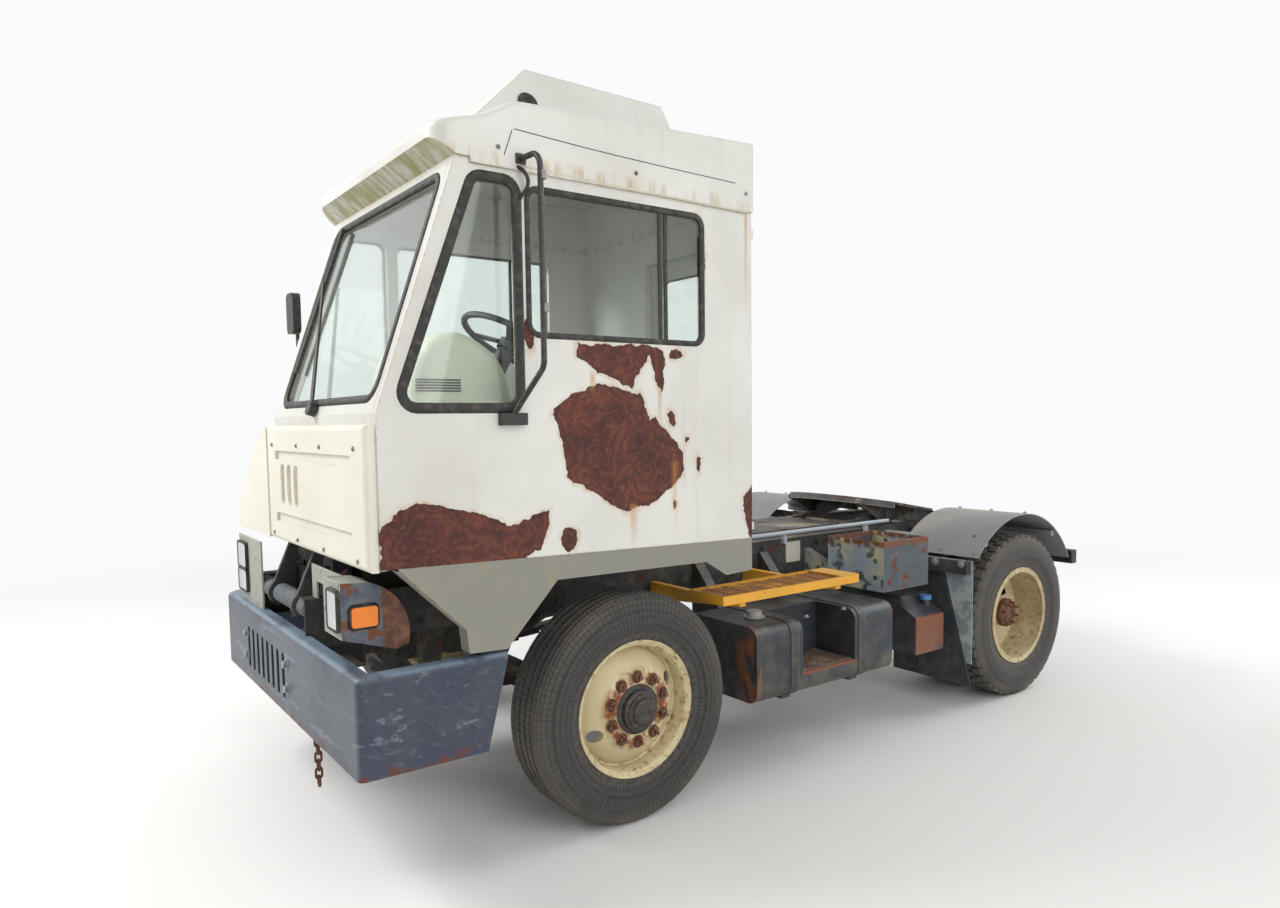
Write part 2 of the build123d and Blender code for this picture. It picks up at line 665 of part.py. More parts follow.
tank_bracket_width = 60
tank_bracket_foot = 16
strap_thickness = 5
strap_width = 56
strap_places = (recess_front_x + strap_width, recess_rear_x - strap_width)
with BuildPart() as tank_brackets:
    for bracket_x in strap_places:
        with BuildSketch(Plane.YZ.offset(bracket_x - tank_bracket_width / 2)):
            Polygon((rail_outer_y, rail_top - 60), (rail_outer_y + 20, rail_top - 60),
                    (tank_inner_y, tank_top - 20), (tank_inner_y, tank_bottom - 2 * strap_thickness),
                    (tank_outer_y - tank_round, tank_bottom - 2 * strap_thickness),
                    (tank_outer_y - tank_round, tank_bottom - 2 * strap_thickness - tank_bracket_foot),
                    (rail_outer_y, tank_bottom - 2 * strap_thickness - tank_bracket_foot), align=None)
        extrude(amount=tank_bracket_width)
        with BuildSketch(Plane.YZ.offset(bracket_x - strap_width / 2)):
            with Locations((tank_inner_y - strap_thickness, tank_bottom - strap_thickness)):
                RectangleRounded(tank_outer_y - tank_inner_y + 2 * strap_thickness,
                                 tank_top - tank_bottom + 2 * strap_thickness,
                                 tank_round + strap_thickness, align=(Align.MIN, Align.MIN))
            with Locations((tank_inner_y, tank_bottom)):
                RectangleRounded(tank_outer_y - tank_inner_y, tank_top - tank_bottom, tank_round,
                                 align=(Align.MIN, Align.MIN), mode=Mode.SUBTRACT)
        extrude(amount=strap_width)
write(tank_brackets, "tank_brackets")

# Step: folded frame with a grating in it, on two arms from the left rail
step_front_x = ahead(-475)
step_rear_x = ahead(-1427)
step_outer_y = 1150
step_inner_y = 905
step_top = 940
step_depth = 45
step_lip = 6
step_end_plate = 125
bar_inset = 8
bar_thickness = 5
bar_count = 7
step_arm_width = 40
step_arm_depth = 45
step_middle_x = (step_front_x + step_rear_x) / 2
step_middle_y = (step_outer_y + step_inner_y) / 2
with BuildPart() as step_platform:
    with BuildSketch(Plane.XY.offset(step_top - step_depth)):
        with Locations((step_middle_x, step_middle_y)):
            Rectangle(step_front_x - step_rear_x, step_outer_y - step_inner_y)
            Rectangle(step_front_x - step_rear_x - 2 * step_lip,
                      step_outer_y - step_inner_y - 2 * step_lip, mode=Mode.SUBTRACT)
    extrude(amount=step_depth)
    with BuildSketch(Plane.XY.offset(step_top - step_depth)):
        with Locations((step_middle_x, step_middle_y)):
            with GridLocations(0, (step_outer_y - step_inner_y) / (bar_count + 1), 1, bar_count):
                Rectangle(step_front_x - step_rear_x - step_lip, bar_thickness)
            with GridLocations((step_front_x - step_rear_x) / 9, 0, 8, 1):
                Rectangle(bar_thickness, step_outer_y - step_inner_y - step_lip)
    extrude(amount=step_depth - bar_inset)
    with Locations((step_rear_x, step_middle_y, step_top)):
        Box(step_end_plate, step_outer_y - step_inner_y, bar_inset,
            align=(Align.MIN, Align.CENTER, Align.MAX))
    for arm_x in (step_front_x - 140, step_rear_x + 140):
        with BuildSketch(Plane.YZ.offset(arm_x - step_arm_width / 2)):
            Polygon((rail_outer_y, step_top - step_depth - 2 * step_arm_depth),
                    (rail_outer_y, step_top - step_depth),
                    (step_outer_y - 20, step_top - step_depth),
                    (step_outer_y - 20, step_top - step_depth - step_arm_depth / 2), align=None)
        extrude(amount=step_arm_width)
write(step_platform, "step_platform")

# Open valve box: bent plate with two round holes in its front wall
box_front_x = ahead(-1760)
box_rear_x = ahead(-2165)
box_outer_y = 1050
box_inner_y = 646
box_bottom = 780
box_top = 1060
box_wall = 6
box_lip = 26
box_hole_r = 15
box_hole_inset = 60
box_hole_depths = (110, 205)
box_arm_height = 90
box_arm_width = 50
box_arm_inset = 30
with BuildPart() as valve_box:
    with Locations((box_rear_x, box_inner_y, box_bottom)):
        Box(box_front_x - box_rear_x, box_outer_y - box_inner_y, box_top - box_bottom,
            align=(Align.MIN, Align.MIN, Align.MIN))
    with Locations((box_rear_x + box_wall, box_inner_y + box_wall, box_bottom + box_wall)):
        Box(box_front_x - box_rear_x - 2 * box_wall, box_outer_y - box_inner_y - 2 * box_wall,
            box_top - box_bottom, align=(Align.MIN, Align.MIN, Align.MIN), mode=Mode.SUBTRACT)
    with BuildSketch(Plane.YZ.offset(box_front_x - box_wall - 1)):
        with Locations(*[(box_outer_y - box_hole_inset, box_top - depth) for depth in box_hole_depths]):
            Circle(box_hole_r)
        Polygon((box_inner_y - 1, box_bottom + box_arm_height), (box_inner_y - 1, box_bottom - 1),
                (box_inner_y + box_arm_height, box_bottom - 1), align=None)
    extrude(amount=box_wall + 2, mode=Mode.SUBTRACT)
    with Locations((box_rear_x, box_outer_y, box_top - box_wall)):
        Box(box_front_x - box_rear_x, box_lip, box_wall, align=(Align.MIN, Align.MAX, Align.MIN))
    for arm_x in (box_rear_x + box_arm_inset, box_front_x - box_arm_inset - box_arm_width):
        with BuildSketch(Plane.YZ.offset(arm_x)):
            Polygon((rail_outer_y, box_bottom + 2 * box_arm_height), (rail_outer_y, box_bottom + box_wall),
                    (box_inner_y + 1, box_bottom + box_wall), (box_inner_y + 1, box_bottom + box_arm_height),
                    align=None)
        extrude(amount=box_arm_width)
write(valve_box, "valve_box")

# Hydraulic tank: black tank hung from the rail, with a lower box outboard and a capped filler
hydraulic_front_x = ahead(-1990)
mud_plate_gap = 40
mud_plate_x = behind(tyre_radius + mud_plate_gap)
hydraulic_gap = 70
hydraulic_rear_x = mud_plate_x + hydraulic_gap
hydraulic_outer_y = 930
hydraulic_top = 700
hydraulic_bottom = 395
side_box_outer_y = 1100
side_box_rear_x = hydraulic_rear_x + 80
side_box_top = 606
side_box_inner_y = 900
hanger_plate = 12
cap_x = side_box_rear_x + 50
cap_y = 1010
cap_r = 34
neck_r = 24
neck_height = 24
cap_height = 26
with BuildPart() as hydraulic_tank:
    with Locations((hydraulic_rear_x, rail_outer_y + hanger_plate, hydraulic_bottom)):
        Box(hydraulic_front_x - hydraulic_rear_x, hydraulic_outer_y - rail_outer_y - hanger_plate,
            hydraulic_top - hydraulic_bottom, align=(Align.MIN, Align.MIN, Align.MIN))
    with BuildSketch(Plane.YZ.offset(side_box_rear_x)):
        Polygon((side_box_inner_y, hydraulic_bottom), (side_box_outer_y, hydraulic_bottom),
                (side_box_outer_y, side_box_top), (hydraulic_outer_y, hydraulic_top),
                (side_box_inner_y, hydraulic_top), align=None)
    extrude(amount=hydraulic_front_x - side_box_rear_x)
    with Locations((hydraulic_rear_x, rail_outer_y, hydraulic_bottom)):
        Box(box_rear_x - run_clear - hydraulic_rear_x, hanger_plate, rail_top - 40 - hydraulic_bottom,
            align=(Align.MIN, Align.MIN, Align.MIN))
    slope = (side_box_top - hydraulic_top) / (side_box_outer_y - hydraulic_outer_y)
    cap_foot_z = hydraulic_top + slope * (cap_y - hydraulic_outer_y)
    with Locations((cap_x, cap_y, cap_foot_z - neck_height)):
        Cylinder(neck_r, 2 * neck_height, align=(Align.CENTER, Align.CENTER, Align.MIN))
    with Locations((cap_x, cap_y, cap_foot_z + neck_height)):
        Cylinder(cap_r, cap_height, align=(Align.CENTER, Align.CENTER, Align.MIN))
write(hydraulic_tank, "hydraulic_tank")

# Rear fenders: rolled sheet over the twin tyres, on two tubes from each rail
fender_r = 640
fender_sheet = 5
fender_inner_y = 640
fender_outer_y = 1190
fender_front_angle = 40
fender_rear_angle = 151
fender_tube_r = 20
fender_tube_angle = 52


def round_wheel(radius, angle):
    """(x, z) of a place round the rear wheel; the angle counts up from straight ahead."""
    return (rear_axle_x + radius * cos(radians(angle)), axle_z + radius * sin(radians(angle)))


middle_angle = (fender_front_angle + fender_rear_angle) / 2
with BuildPart() as rear_fenders:
    with BuildSketch(side_plane(fender_outer_y)):
        with BuildLine():
            outer_arc = ThreePointArc(round_wheel(fender_r, fender_front_angle),
                                      round_wheel(fender_r, middle_angle),
                                      round_wheel(fender_r, fender_rear_angle))
            inner_arc = ThreePointArc(round_wheel(fender_r - fender_sheet, fender_front_angle),
                                      round_wheel(fender_r - fender_sheet, middle_angle),
                                      round_wheel(fender_r - fender_sheet, fender_rear_angle))
            Line(outer_arc @ 0, inner_arc @ 0)
            Line(outer_arc @ 1, inner_arc @ 1)
        make_face()
    extrude(amount=fender_outer_y - fender_inner_y)
    with BuildSketch(side_plane(fender_outer_y - 20)):
        with Locations(round_wheel(fender_r - fender_sheet - fender_tube_r + 1, fender_tube_angle),
                       round_wheel(fender_r - fender_sheet - fender_tube_r + 1, 180 - fender_tube_angle)):
            Circle(fender_tube_r)
    extrude(amount=fender_outer_y - 20 - rail_outer_y)
    mirror(about=Plane.XZ)
write(rear_fenders, "rear_fenders")

# Mud plates: upright sheets ahead of the twin tyres, each hung on a bent hanger from the rail
mud_plate_sheet = 8
mud_plate_bottom = 155
mud_plate_top = 845
mud_plate_cut = 190
mud_hanger_depth = 40
gusset_sheet = 5
gusset_low_z = 290
gusset_lap = 30
with BuildPart() as mud_plates:
    with BuildSketch(Plane.YZ.offset(mud_plate_x)):
        Polygon((fender_inner_y, mud_plate_bottom), (fender_outer_y, mud_plate_bottom),
                (fender_outer_y - mud_plate_cut, mud_plate_top), (fender_inner_y, mud_plate_top),
                align=None)
    extrude(amount=mud_plate_sheet)
    cut_share = (gusset_low_z - mud_plate_bottom) / (mud_plate_top - mud_plate_bottom)
    with BuildSketch(Plane.YZ.offset(mud_plate_x)):
        Polygon((fender_outer_y, gusset_low_z), (fender_outer_y, mud_plate_top + 60),
                (fender_outer_y - mud_plate_cut - gusset_lap, mud_plate_top + 60),
                (fender_outer_y - mud_plate_cut * cut_share - gusset_lap, gusset_low_z), align=None)
    extrude(amount=-gusset_sheet)
    with BuildSketch(Plane.YZ.offset(mud_plate_x)):
        Polygon((rail_outer_y, mud_plate_top - 20), (rail_outer_y, mud_plate_top + 60),
                (fender_outer_y - 15, mud_plate_top + 60), (fender_outer_y - 15, mud_plate_top - 20),
                align=None)
    extrude(amount=mud_hanger_depth)
    mirror(about=Plane.XZ)
write(mud_plates, "mud_plates")

# Deck plate behind the cab, and the pale tube clipped along the left rail
deck_front_x = ahead(-680)
deck_rear_x = ahead(-1190)
deck_sheet = 6
with BuildPart() as deck_plate:
    with Locations((deck_rear_x, 0, rail_top)):
        Box(deck_front_x - deck_rear_x, 2 * rail_outer_y, deck_sheet,
            align=(Align.MIN, Align.CENTER, Align.MIN))
write(deck_plate, "deck_plate")

line_tube_r = 13
line_tube_y = rail_outer_y + 24
line_tube_z = box_top + line_tube_r
line_tube_front_x = ahead(-700)
line_tube_rear_x = ahead(-2560)
line_clip_width = 24
with BuildPart() as rail_tube:
    with BuildSketch(Plane.YZ.offset(line_tube_rear_x)):
        with Locations((line_tube_y, line_tube_z)):
            Circle(line_tube_r)
    extrude(amount=line_tube_front_x - line_tube_rear_x)
    for clip_x in (ahead(-760), ahead(-1600), ahead(-2350)):
        with Locations((clip_x, rail_outer_y, rail_top - 28)):
            Box(line_clip_width, line_tube_y - rail_outer_y, 28 + line_tube_z - rail_top,
                align=(Align.CENTER, Align.MIN, Align.MIN))
write(rail_tube, "rail_tube")

# Air tanks and silencer, hung below the right rail
air_tank_r = 118
air_tank_length = 520
air_tank_y = -610
air_tank_z = 660
silencer_r = 130
silencer_front_x = ahead(-1330)
silencer_rear_x = ahead(-2130)
silencer_z = 640
air_tank_front_x = ahead(-660)


def hung_cylinder(front_x, length, radius, y, z, hanger_places):
    """Lengthwise cylinder with domed ends and flat hangers up to the right rail."""
    with BuildPart() as piece:
        with BuildSketch(Plane.YZ.offset(front_x - length)):
            with Locations((y, z)):
                Circle(radius)
        extrude(amount=length)
        chamfer(piece.edges().filter_by(GeomType.CIRCLE), length=24)
        for hanger_x in hanger_places:
            with BuildSketch(Plane.YZ.offset(hanger_x)):
                Polygon((-rail_outer_y, rail_bottom), (-rail_outer_y, rail_bottom + 120),
                        (-rail_outer_y - 20, rail_bottom + 120), (y - radius * 0.5, z),
                        (y + radius * 0.5, z), align=None)
            extrude(amount=16)
    return piece


air_tank = hung_cylinder(air_tank_front_x, air_tank_length, air_tank_r, air_tank_y, air_tank_z,
                         (air_tank_front_x - 120, air_tank_front_x - 400))
write(air_tank, "air_tank")
silencer = hung_cylinder(silencer_front_x, silencer_front_x - silencer_rear_x, silencer_r,
                         air_tank_y, silencer_z, (silencer_front_x - 150, silencer_rear_x + 150))
write(silencer, "silencer")

# Boom: two plate arms under a cover plate, turning on the shaft behind the cab
fifth_pivot_x = behind(230)
fifth_pivot_z = 1097
arm_inner_y = 232
arm_plate = 28
arm_outer_y = arm_inner_y + arm_plate
boom_cover_front_x = ahead(-1400)
boom_cover_rear_x = behind(640)
boom_cover_z = 1050
boom_cover_plate = 10
boom_eye_r = 62
fifth_stub_r = 32
fifth_stub_end_y = 338
lift_eye_x = behind(590)
lift_eye_z = 985
lift_y = 150
lift_ear_gap = 74
lift_ear_plate = 20
boom_spreader_x = boom_pivot_x - 330
with BuildPart() as boom:
    for side in (1, -1):
        edge_y = side * arm_inner_y if side < 0 else arm_outer_y
        with BuildSketch(side_plane(edge_y)):
            Polygon((boom_pivot_x + 20, boom_pivot_z + boom_eye_r * 0.9),
                    (boom_cover_front_x - 60, boom_cover_z), (boom_cover_rear_x, boom_cover_z),
                    (fifth_pivot_x + 60, fifth_pivot_z - 10), (fifth_pivot_x, fifth_pivot_z - boom_eye_r),
                    (fifth_pivot_x + 40, fifth_pivot_z - boom_eye_r * 1.6),
                    (lift_eye_x, lift_eye_z - 60), (boom_pivot_x, boom_pivot_z - boom_eye_r),
                    align=None)
            with Locations((boom_pivot_x, boom_pivot_z), (fifth_pivot_x, fifth_pivot_z)):
                Circle(boom_eye_r)
            with Locations((boom_pivot_x, boom_pivot_z)):
                Circle(boom_shaft_r + run_gap, mode=Mode.SUBTRACT)
        extrude(amount=arm_plate)
    with Locations((boom_cover_rear_x, 0, boom_cover_z)):
        Box(boom_cover_front_x - boom_cover_rear_x, 2 * arm_outer_y, boom_cover_plate,
            align=(Align.MIN, Align.CENTER, Align.MIN))
    for spreader_x, spreader_z in ((boom_spreader_x, 1000), (fifth_pivot_x + 190, 1010)):
        with BuildSketch(side_plane(arm_inner_y + 1)):
            with Locations((spreader_x, spreader_z)):
                Circle(38)
        extrude(amount=2 * arm_inner_y + 2)
    for start_y in (fifth_stub_end_y, -arm_outer_y):
        with BuildSketch(side_plane(start_y)):
            with Locations((fifth_pivot_x, fifth_pivot_z)):
                Circle(fifth_stub_r)
        extrude(amount=fifth_stub_end_y - arm_outer_y)
    for ear_y in (lift_y, -lift_y):
        for ear_side in (1, -1):
            middle = ear_y + ear_side * (lift_ear_gap + lift_ear_plate) / 2
            with BuildSketch(side_plane(middle + lift_ear_plate / 2)):
                Polygon((lift_eye_x - 70, boom_cover_z), (lift_eye_x + 70, boom_cover_z),
                        (lift_eye_x + 34, lift_eye_z - 20), (lift_eye_x - 34, lift_eye_z - 20),
                        align=None)
            extrude(amount=lift_ear_plate)
write(boom, "boom")

# Fifth wheel: plate with a round front lip, a throat, ramps at the tail, and ribs that hold it on the
# boom. It is drawn level, and then tipped back on its pivot, as it rests with no trailer on it.
plate_top = 1177
plate_thickness = 14
plate_front_x = fifth_pivot_x + 395
plate_shoulder_x = fifth_pivot_x + 110
plate_ramp_x = fifth_pivot_x - 330
plate_rear_x = fifth_pivot_x - 440
plate_half_width = 457
plate_lip = 16
plate_lip_depth = 42
ramp_drop = 20
ramp_taper = 90
kingpin_hole_r = 26
throat_half_width = 190
throat_start_x = fifth_pivot_x - 70
rib_outer_y = 322
rib_plate = 34
rib_half_length = 300
rib_end_depth = 24
rib_foot_half = 50
rib_bottom = fifth_pivot_z - 52
jaw_depth = 58
jaw_r = 62
rest_tilt = 10
with BuildPart() as level_plate:
    plate_bottom = plate_top - plate_thickness
    for lip_height, lip_inset in ((plate_thickness, None), (plate_lip_depth, plate_lip)):
        inner_x = plate_ramp_x if lip_inset is None else plate_shoulder_x - lip_inset
        with BuildSketch(Plane.XY.offset(plate_top - lip_height)):
            with BuildLine():
                nose = ThreePointArc((plate_shoulder_x, plate_half_width), (plate_front_x, 0),
                                     (plate_shoulder_x, -plate_half_width))
                Polyline(nose @ 1, (inner_x, -plate_half_width))
                Polyline(nose @ 0, (inner_x, plate_half_width))
                if lip_inset is None:
                    Line((inner_x, plate_half_width), (inner_x, -plate_half_width))
                else:
                    ThreePointArc((inner_x, plate_half_width), (plate_front_x - lip_inset, 0),
                                  (inner_x, -plate_half_width))
            make_face()
        extrude(amount=lip_height)
    with BuildSketch(side_plane(plate_half_width)):
        Polygon((plate_ramp_x, plate_top), (plate_ramp_x, plate_bottom),
                (plate_rear_x, plate_bottom - ramp_drop), (plate_rear_x, plate_top - ramp_drop),
                align=None)
    extrude(amount=2 * plate_half_width)
    with BuildSketch(Plane.XY.offset(fifth_pivot_z)):
        Polygon((throat_start_x, kingpin_hole_r), (throat_start_x, -kingpin_hole_r),
                (plate_rear_x - 1, -throat_half_width), (plate_rear_x - 1, throat_half_width),
                align=None)
        for side in (1, -1):
            Polygon((plate_ramp_x, side * plate_half_width), (plate_rear_x - 1, side * plate_half_width),
                    (plate_rear_x - 1, side * (plate_half_width - ramp_taper)), align=None)
    extrude(amount=plate_top - fifth_pivot_z + 1, mode=Mode.SUBTRACT)
    with BuildSketch(Plane.XY.offset(plate_bottom - jaw_depth)):
        with Locations((fifth_pivot_x, 0)):
            Circle(jaw_r)
    extrude(amount=jaw_depth)
    with BuildSketch(Plane.XY.offset(plate_bottom - jaw_depth)):
        with Locations((fifth_pivot_x, 0)):
            Circle(kingpin_hole_r)
        with Locations((throat_start_x, 0)):
            Rectangle(fifth_pivot_x - throat_start_x, 2 * kingpin_hole_r,
                      align=(Align.MIN, Align.CENTER))
    extrude(amount=jaw_depth + plate_thickness, mode=Mode.SUBTRACT)
    for start_y in (rib_outer_y, -rib_outer_y + rib_plate):
        with BuildSketch(side_plane(start_y)):
            Polygon((fifth_pivot_x + rib_half_length, plate_bottom),
                    (fifth_pivot_x + rib_half_length, plate_bottom - rib_end_depth),
                    (fifth_pivot_x + rib_foot_half, rib_bottom), (fifth_pivot_x - rib_foot_half, rib_bottom),
                    (fifth_pivot_x - rib_half_length, plate_bottom - rib_end_depth),
                    (fifth_pivot_x - rib_half_length, plate_bottom), align=None)
            with Locations((fifth_pivot_x, fifth_pivot_z)):
                Circle(fifth_stub_r + run_gap, mode=Mode.SUBTRACT)
        extrude(amount=rib_plate)
with BuildPart() as fifth_wheel:
    add(level_plate.part.rotate(Axis((fifth_pivot_x, 0, fifth_pivot_z), (0, 1, 0)), -rest_tilt))
write(fifth_wheel, "fifth_wheel")

# Lift cylinders: two barrels pinned to a bracket on the frame, and their rods
lift_barrel_r = 52
lift_rod_r = 26
lift_eye_width = 58
lift_reach = Vector(lift_eye_x - lift_base_x, 0, lift_eye_z - lift_base_z)
barrel_length = 470
barrel_start = 30
rod_tail = 60
lift_plane_z = lift_reach.normalized()


def lift_plane(y, distance):
    """Plane square to a lift cylinder at a distance from its base pin."""
    origin = Vector(lift_base_x, y, lift_base_z) + lift_plane_z * distance
    return Plane(origin=origin, x_dir=(0, 1, 0), z_dir=lift_plane_z)


with BuildPart() as lift_barrels:
    for y in (lift_y, -lift_y):
        with BuildSketch(lift_plane(y, barrel_start)):
            Circle(lift_barrel_r)
        extrude(amount=barrel_length - barrel_start)
        with BuildSketch(side_plane(y + lift_eye_width / 2)):
            with Locations((lift_base_x, lift_base_z)):
                Circle(lift_barrel_r * 0.9)
        extrude(amount=lift_eye_width)
        with BuildSketch(side_plane(y + lift_eye_width / 2 + 1)):
            with Locations((lift_base_x, lift_base_z)):
                Circle(lift_base_r + run_gap)
        extrude(amount=lift_eye_width + 2, mode=Mode.SUBTRACT)
        with BuildSketch(lift_plane(y, barrel_length - rod_tail - 200)):
            Circle(lift_rod_r + run_gap)
        extrude(amount=rod_tail + 201, mode=Mode.SUBTRACT)
write(lift_barrels, "lift_barrels")

with BuildPart() as lift_rods:
    for y in (lift_y, -lift_y):
        with BuildSketch(lift_plane(y, barrel_length - rod_tail - 130)):
            Circle(lift_rod_r)
        extrude(amount=lift_reach.length - barrel_length + rod_tail + 130)
        with BuildSketch(side_plane(y + lift_eye_width / 2)):
            with Locations((lift_eye_x, lift_eye_z)):
                Circle(40)
        extrude(amount=lift_eye_width)
write(lift_rods, "lift_rods")

# Cab floor, with the two arms that turn on the front tube and the pads at the rear
cab_arm_places = (290, -95)
cab_arm_plate = 24
cab_arm_r = 58
with BuildPart() as cab_floor:
    with Locations((cab_rear_x + cab_wall, cab_inner_right_y, cab_floor_bottom)):
        Box(cab_front_x - cab_rear_x - 2 * cab_wall, cab_inner_left_y - cab_inner_right_y,
            cab_floor_thickness, align=(Align.MIN, Align.MIN, Align.MIN))
    for cab_arm_y in cab_arm_places:
        with BuildSketch(side_plane(cab_arm_y + cab_arm_plate / 2)):
            Polygon((pivot_tube_x - cab_arm_r * 1.6, cab_floor_bottom + 1),
                    (cab_front_x - cab_wall - 2, cab_floor_bottom + 1),
                    (pivot_tube_x + cab_arm_r * 0.9, pivot_tube_z), (pivot_tube_x - cab_arm_r * 0.9, pivot_tube_z),
                    align=None)
            with Locations((pivot_tube_x, pivot_tube_z)):
                Circle(cab_arm_r)
                Circle(pivot_tube_r + run_gap, mode=Mode.SUBTRACT)
        extrude(amount=cab_arm_plate)
write(cab_floor, "cab_floor")

# Cab side windows: (x, z) corners at a side, as distances ahead of the front axle
quarter_head = 65
side_window_head = 75
quarter_top = cab_head_z - quarter_head
quarter_bottom = 1815
quarter_window = [(ahead(742), quarter_top), (ahead(577), quarter_top),
                  (ahead(577), quarter_bottom), (ahead(1048), quarter_bottom)]
side_window_front_x = ahead(525)
side_window_rear_x = ahead(-337)
side_window_bottom = 2085
side_window_top = cab_head_z - side_window_head
window_corner_r = 46
glass_thickness = 6
side_outline = [(cab_rear_x, cab_sill_rear_z), (cab_front_x, cab_sill_front_z),
                (cab_front_x, screen_foot_z), (screen_head_x, cab_head_z), (cab_rear_x, cab_head_z)]


def window_holes():
    """Draws the two side windows, quarter window first, with rounded corners."""
    with BuildSketch(mode=Mode.PRIVATE) as holes:
        Polygon(*quarter_window, align=None)
        with Locations((side_window_rear_x, side_window_bottom)):
            Rectangle(side_window_front_x - side_window_rear_x, side_window_top - side_window_bottom,
                      align=(Align.MIN, Align.MIN))
        fillet(holes.vertices(), radius=window_corner_r)
    return holes.sketch


def cab_side(y):
    """One side of the cab; y is the place of its left face."""
    with BuildPart() as piece:
        with BuildSketch(side_plane(y)):
            Polygon(*side_outline, align=None)
            add(window_holes(), mode=Mode.SUBTRACT)
        extrude(amount=cab_wall)
    return piece


cab_left_side = cab_side(cab_left_y)
write(cab_left_side, "cab_left_side")
cab_right_side = cab_side(cab_inner_right_y)
write(cab_right_side, "cab_right_side")

# Rear wall with the doorway, and the rails that the door slides on
door_way_left_y = 1040
door_way_right_y = 420
door_way_head = 145
door_way_top = cab_head_z - door_way_head
door_overlap = 20
door_plate = 26
door_gap = 8
door_rail_depth = 46
door_rail_height = 40
rail_lip = 6
door_x = cab_rear_x - door_gap
with BuildPart() as cab_rear_wall:
    with Locations((cab_rear_x, cab_inner_right_y, cab_floor_bottom)):
        Box(cab_wall, cab_inner_left_y - cab_inner_right_y, cab_head_z - cab_floor_bottom,
            align=(Align.MIN, Align.MIN, Align.MIN))
    with Locations((cab_rear_x - 1, door_way_right_y, cab_floor_top)):
        Box(cab_wall + 2, door_way_left_y - door_way_right_y, door_way_top - cab_floor_top,
            align=(Align.MIN, Align.MIN, Align.MIN), mode=Mode.SUBTRACT)
    for rail_z in (cab_floor_bottom, door_way_top + door_overlap + rail_lip):
        with Locations((cab_rear_x, cab_inner_right_y, rail_z)):
            Box(door_rail_depth, cab_inner_left_y - cab_inner_right_y, door_rail_height - rail_lip,
                align=(Align.MAX, Align.MIN, Align.MIN))
write(cab_rear_wall, "cab_rear_wall")

door_slide_gap = 0.3
door_bottom = cab_floor_bottom + door_rail_height - rail_lip + door_slide_gap
door_top = door_way_top + door_overlap + rail_lip - door_slide_gap
door_window_bottom = 1900
door_window_margin = 90
door_window_width = door_way_left_y - door_way_right_y - 2 * door_window_margin
door_window_height = door_way_top - door_window_margin - door_window_bottom
with BuildPart() as rear_door:
    with BuildSketch(Plane.YZ.offset(door_x - door_plate)):
        with Locations((door_way_right_y - door_overlap, door_bottom)):
            Rectangle(door_way_left_y - door_way_right_y + 2 * door_overlap, door_top - door_bottom,
                      align=(Align.MIN, Align.MIN))
        with Locations((door_way_right_y + door_window_margin, door_window_bottom)):
            RectangleRounded(door_window_width, door_window_height, window_corner_r,
                             align=(Align.MIN, Align.MIN), mode=Mode.SUBTRACT)
    extrude(amount=door_plate)
write(rear_door, "rear_door")

with BuildPart() as rear_door_glass:
    with BuildSketch(Plane.YZ.offset(door_x - door_plate / 2 - glass_thickness / 2)):
        with Locations((door_way_right_y + door_window_margin, door_window_bottom)):
            RectangleRounded(door_window_width, door_window_height, window_corner_r,
                             align=(Align.MIN, Align.MIN))
    extrude(amount=glass_thickness)
write(rear_door_glass, "rear_door_glass")

# Front wall and raked windscreen frame in one piece
screen_left_y = 1112
screen_right_y = -70
screen_margin = 55
screen_rake = Vector(screen_head_x - cab_front_x, 0, cab_head_z - screen_foot_z)
screen_normal = Vector(screen_rake.Z, 0, -screen_rake.X).normalized()
screen_height = screen_rake.length - 2 * screen_margin


def screen_plane(depth):
    """Plane of the windscreen, a depth inside the outer face; first direction +Y, second up the rake."""
    return Plane(origin=Vector(cab_front_x, 0, screen_foot_z) - screen_normal * depth,
                 x_dir=(0, 1, 0), z_dir=screen_normal)


def screen_hole():
    """Draws the windscreen's opening on a screen plane."""
    with BuildSketch(mode=Mode.PRIVATE) as hole:
        with Locations(((screen_left_y + screen_right_y) / 2, screen_rake.length / 2)):
            RectangleRounded(screen_left_y - screen_right_y, screen_height, 70)
    return hole.sketch


with BuildPart() as cab_front_wall:
    inner_foot_x = cab_front_x - cab_wall
    with BuildSketch(side_plane(cab_inner_left_y)):
        Polygon((cab_front_x, cab_floor_bottom), (cab_front_x, screen_foot_z), (screen_head_x, cab_head_z),
                (screen_head_x - cab_wall * 1.2, cab_head_z), (inner_foot_x, screen_foot_z - 12),
                (inner_foot_x, cab_floor_bottom), align=None)
    extrude(amount=cab_inner_left_y - cab_inner_right_y)
    with BuildSketch(screen_plane(2 * cab_wall)):
        add(screen_hole())
    extrude(amount=3 * cab_wall, mode=Mode.SUBTRACT)
write(cab_front_wall, "cab_front_wall")

# Glass: the windscreen and the panes of both sides
with BuildPart() as cab_glass:
    with BuildSketch(screen_plane(14 + glass_thickness)):
        add(screen_hole())
    extrude(amount=glass_thickness)
    for pane_y in (cab_left_y - 12, cab_right_y + 12 + glass_thickness):
        with BuildSketch(side_plane(pane_y)):
            add(window_holes())
        extrude(amount=glass_thickness)
write(cab_glass, "cab_glass")

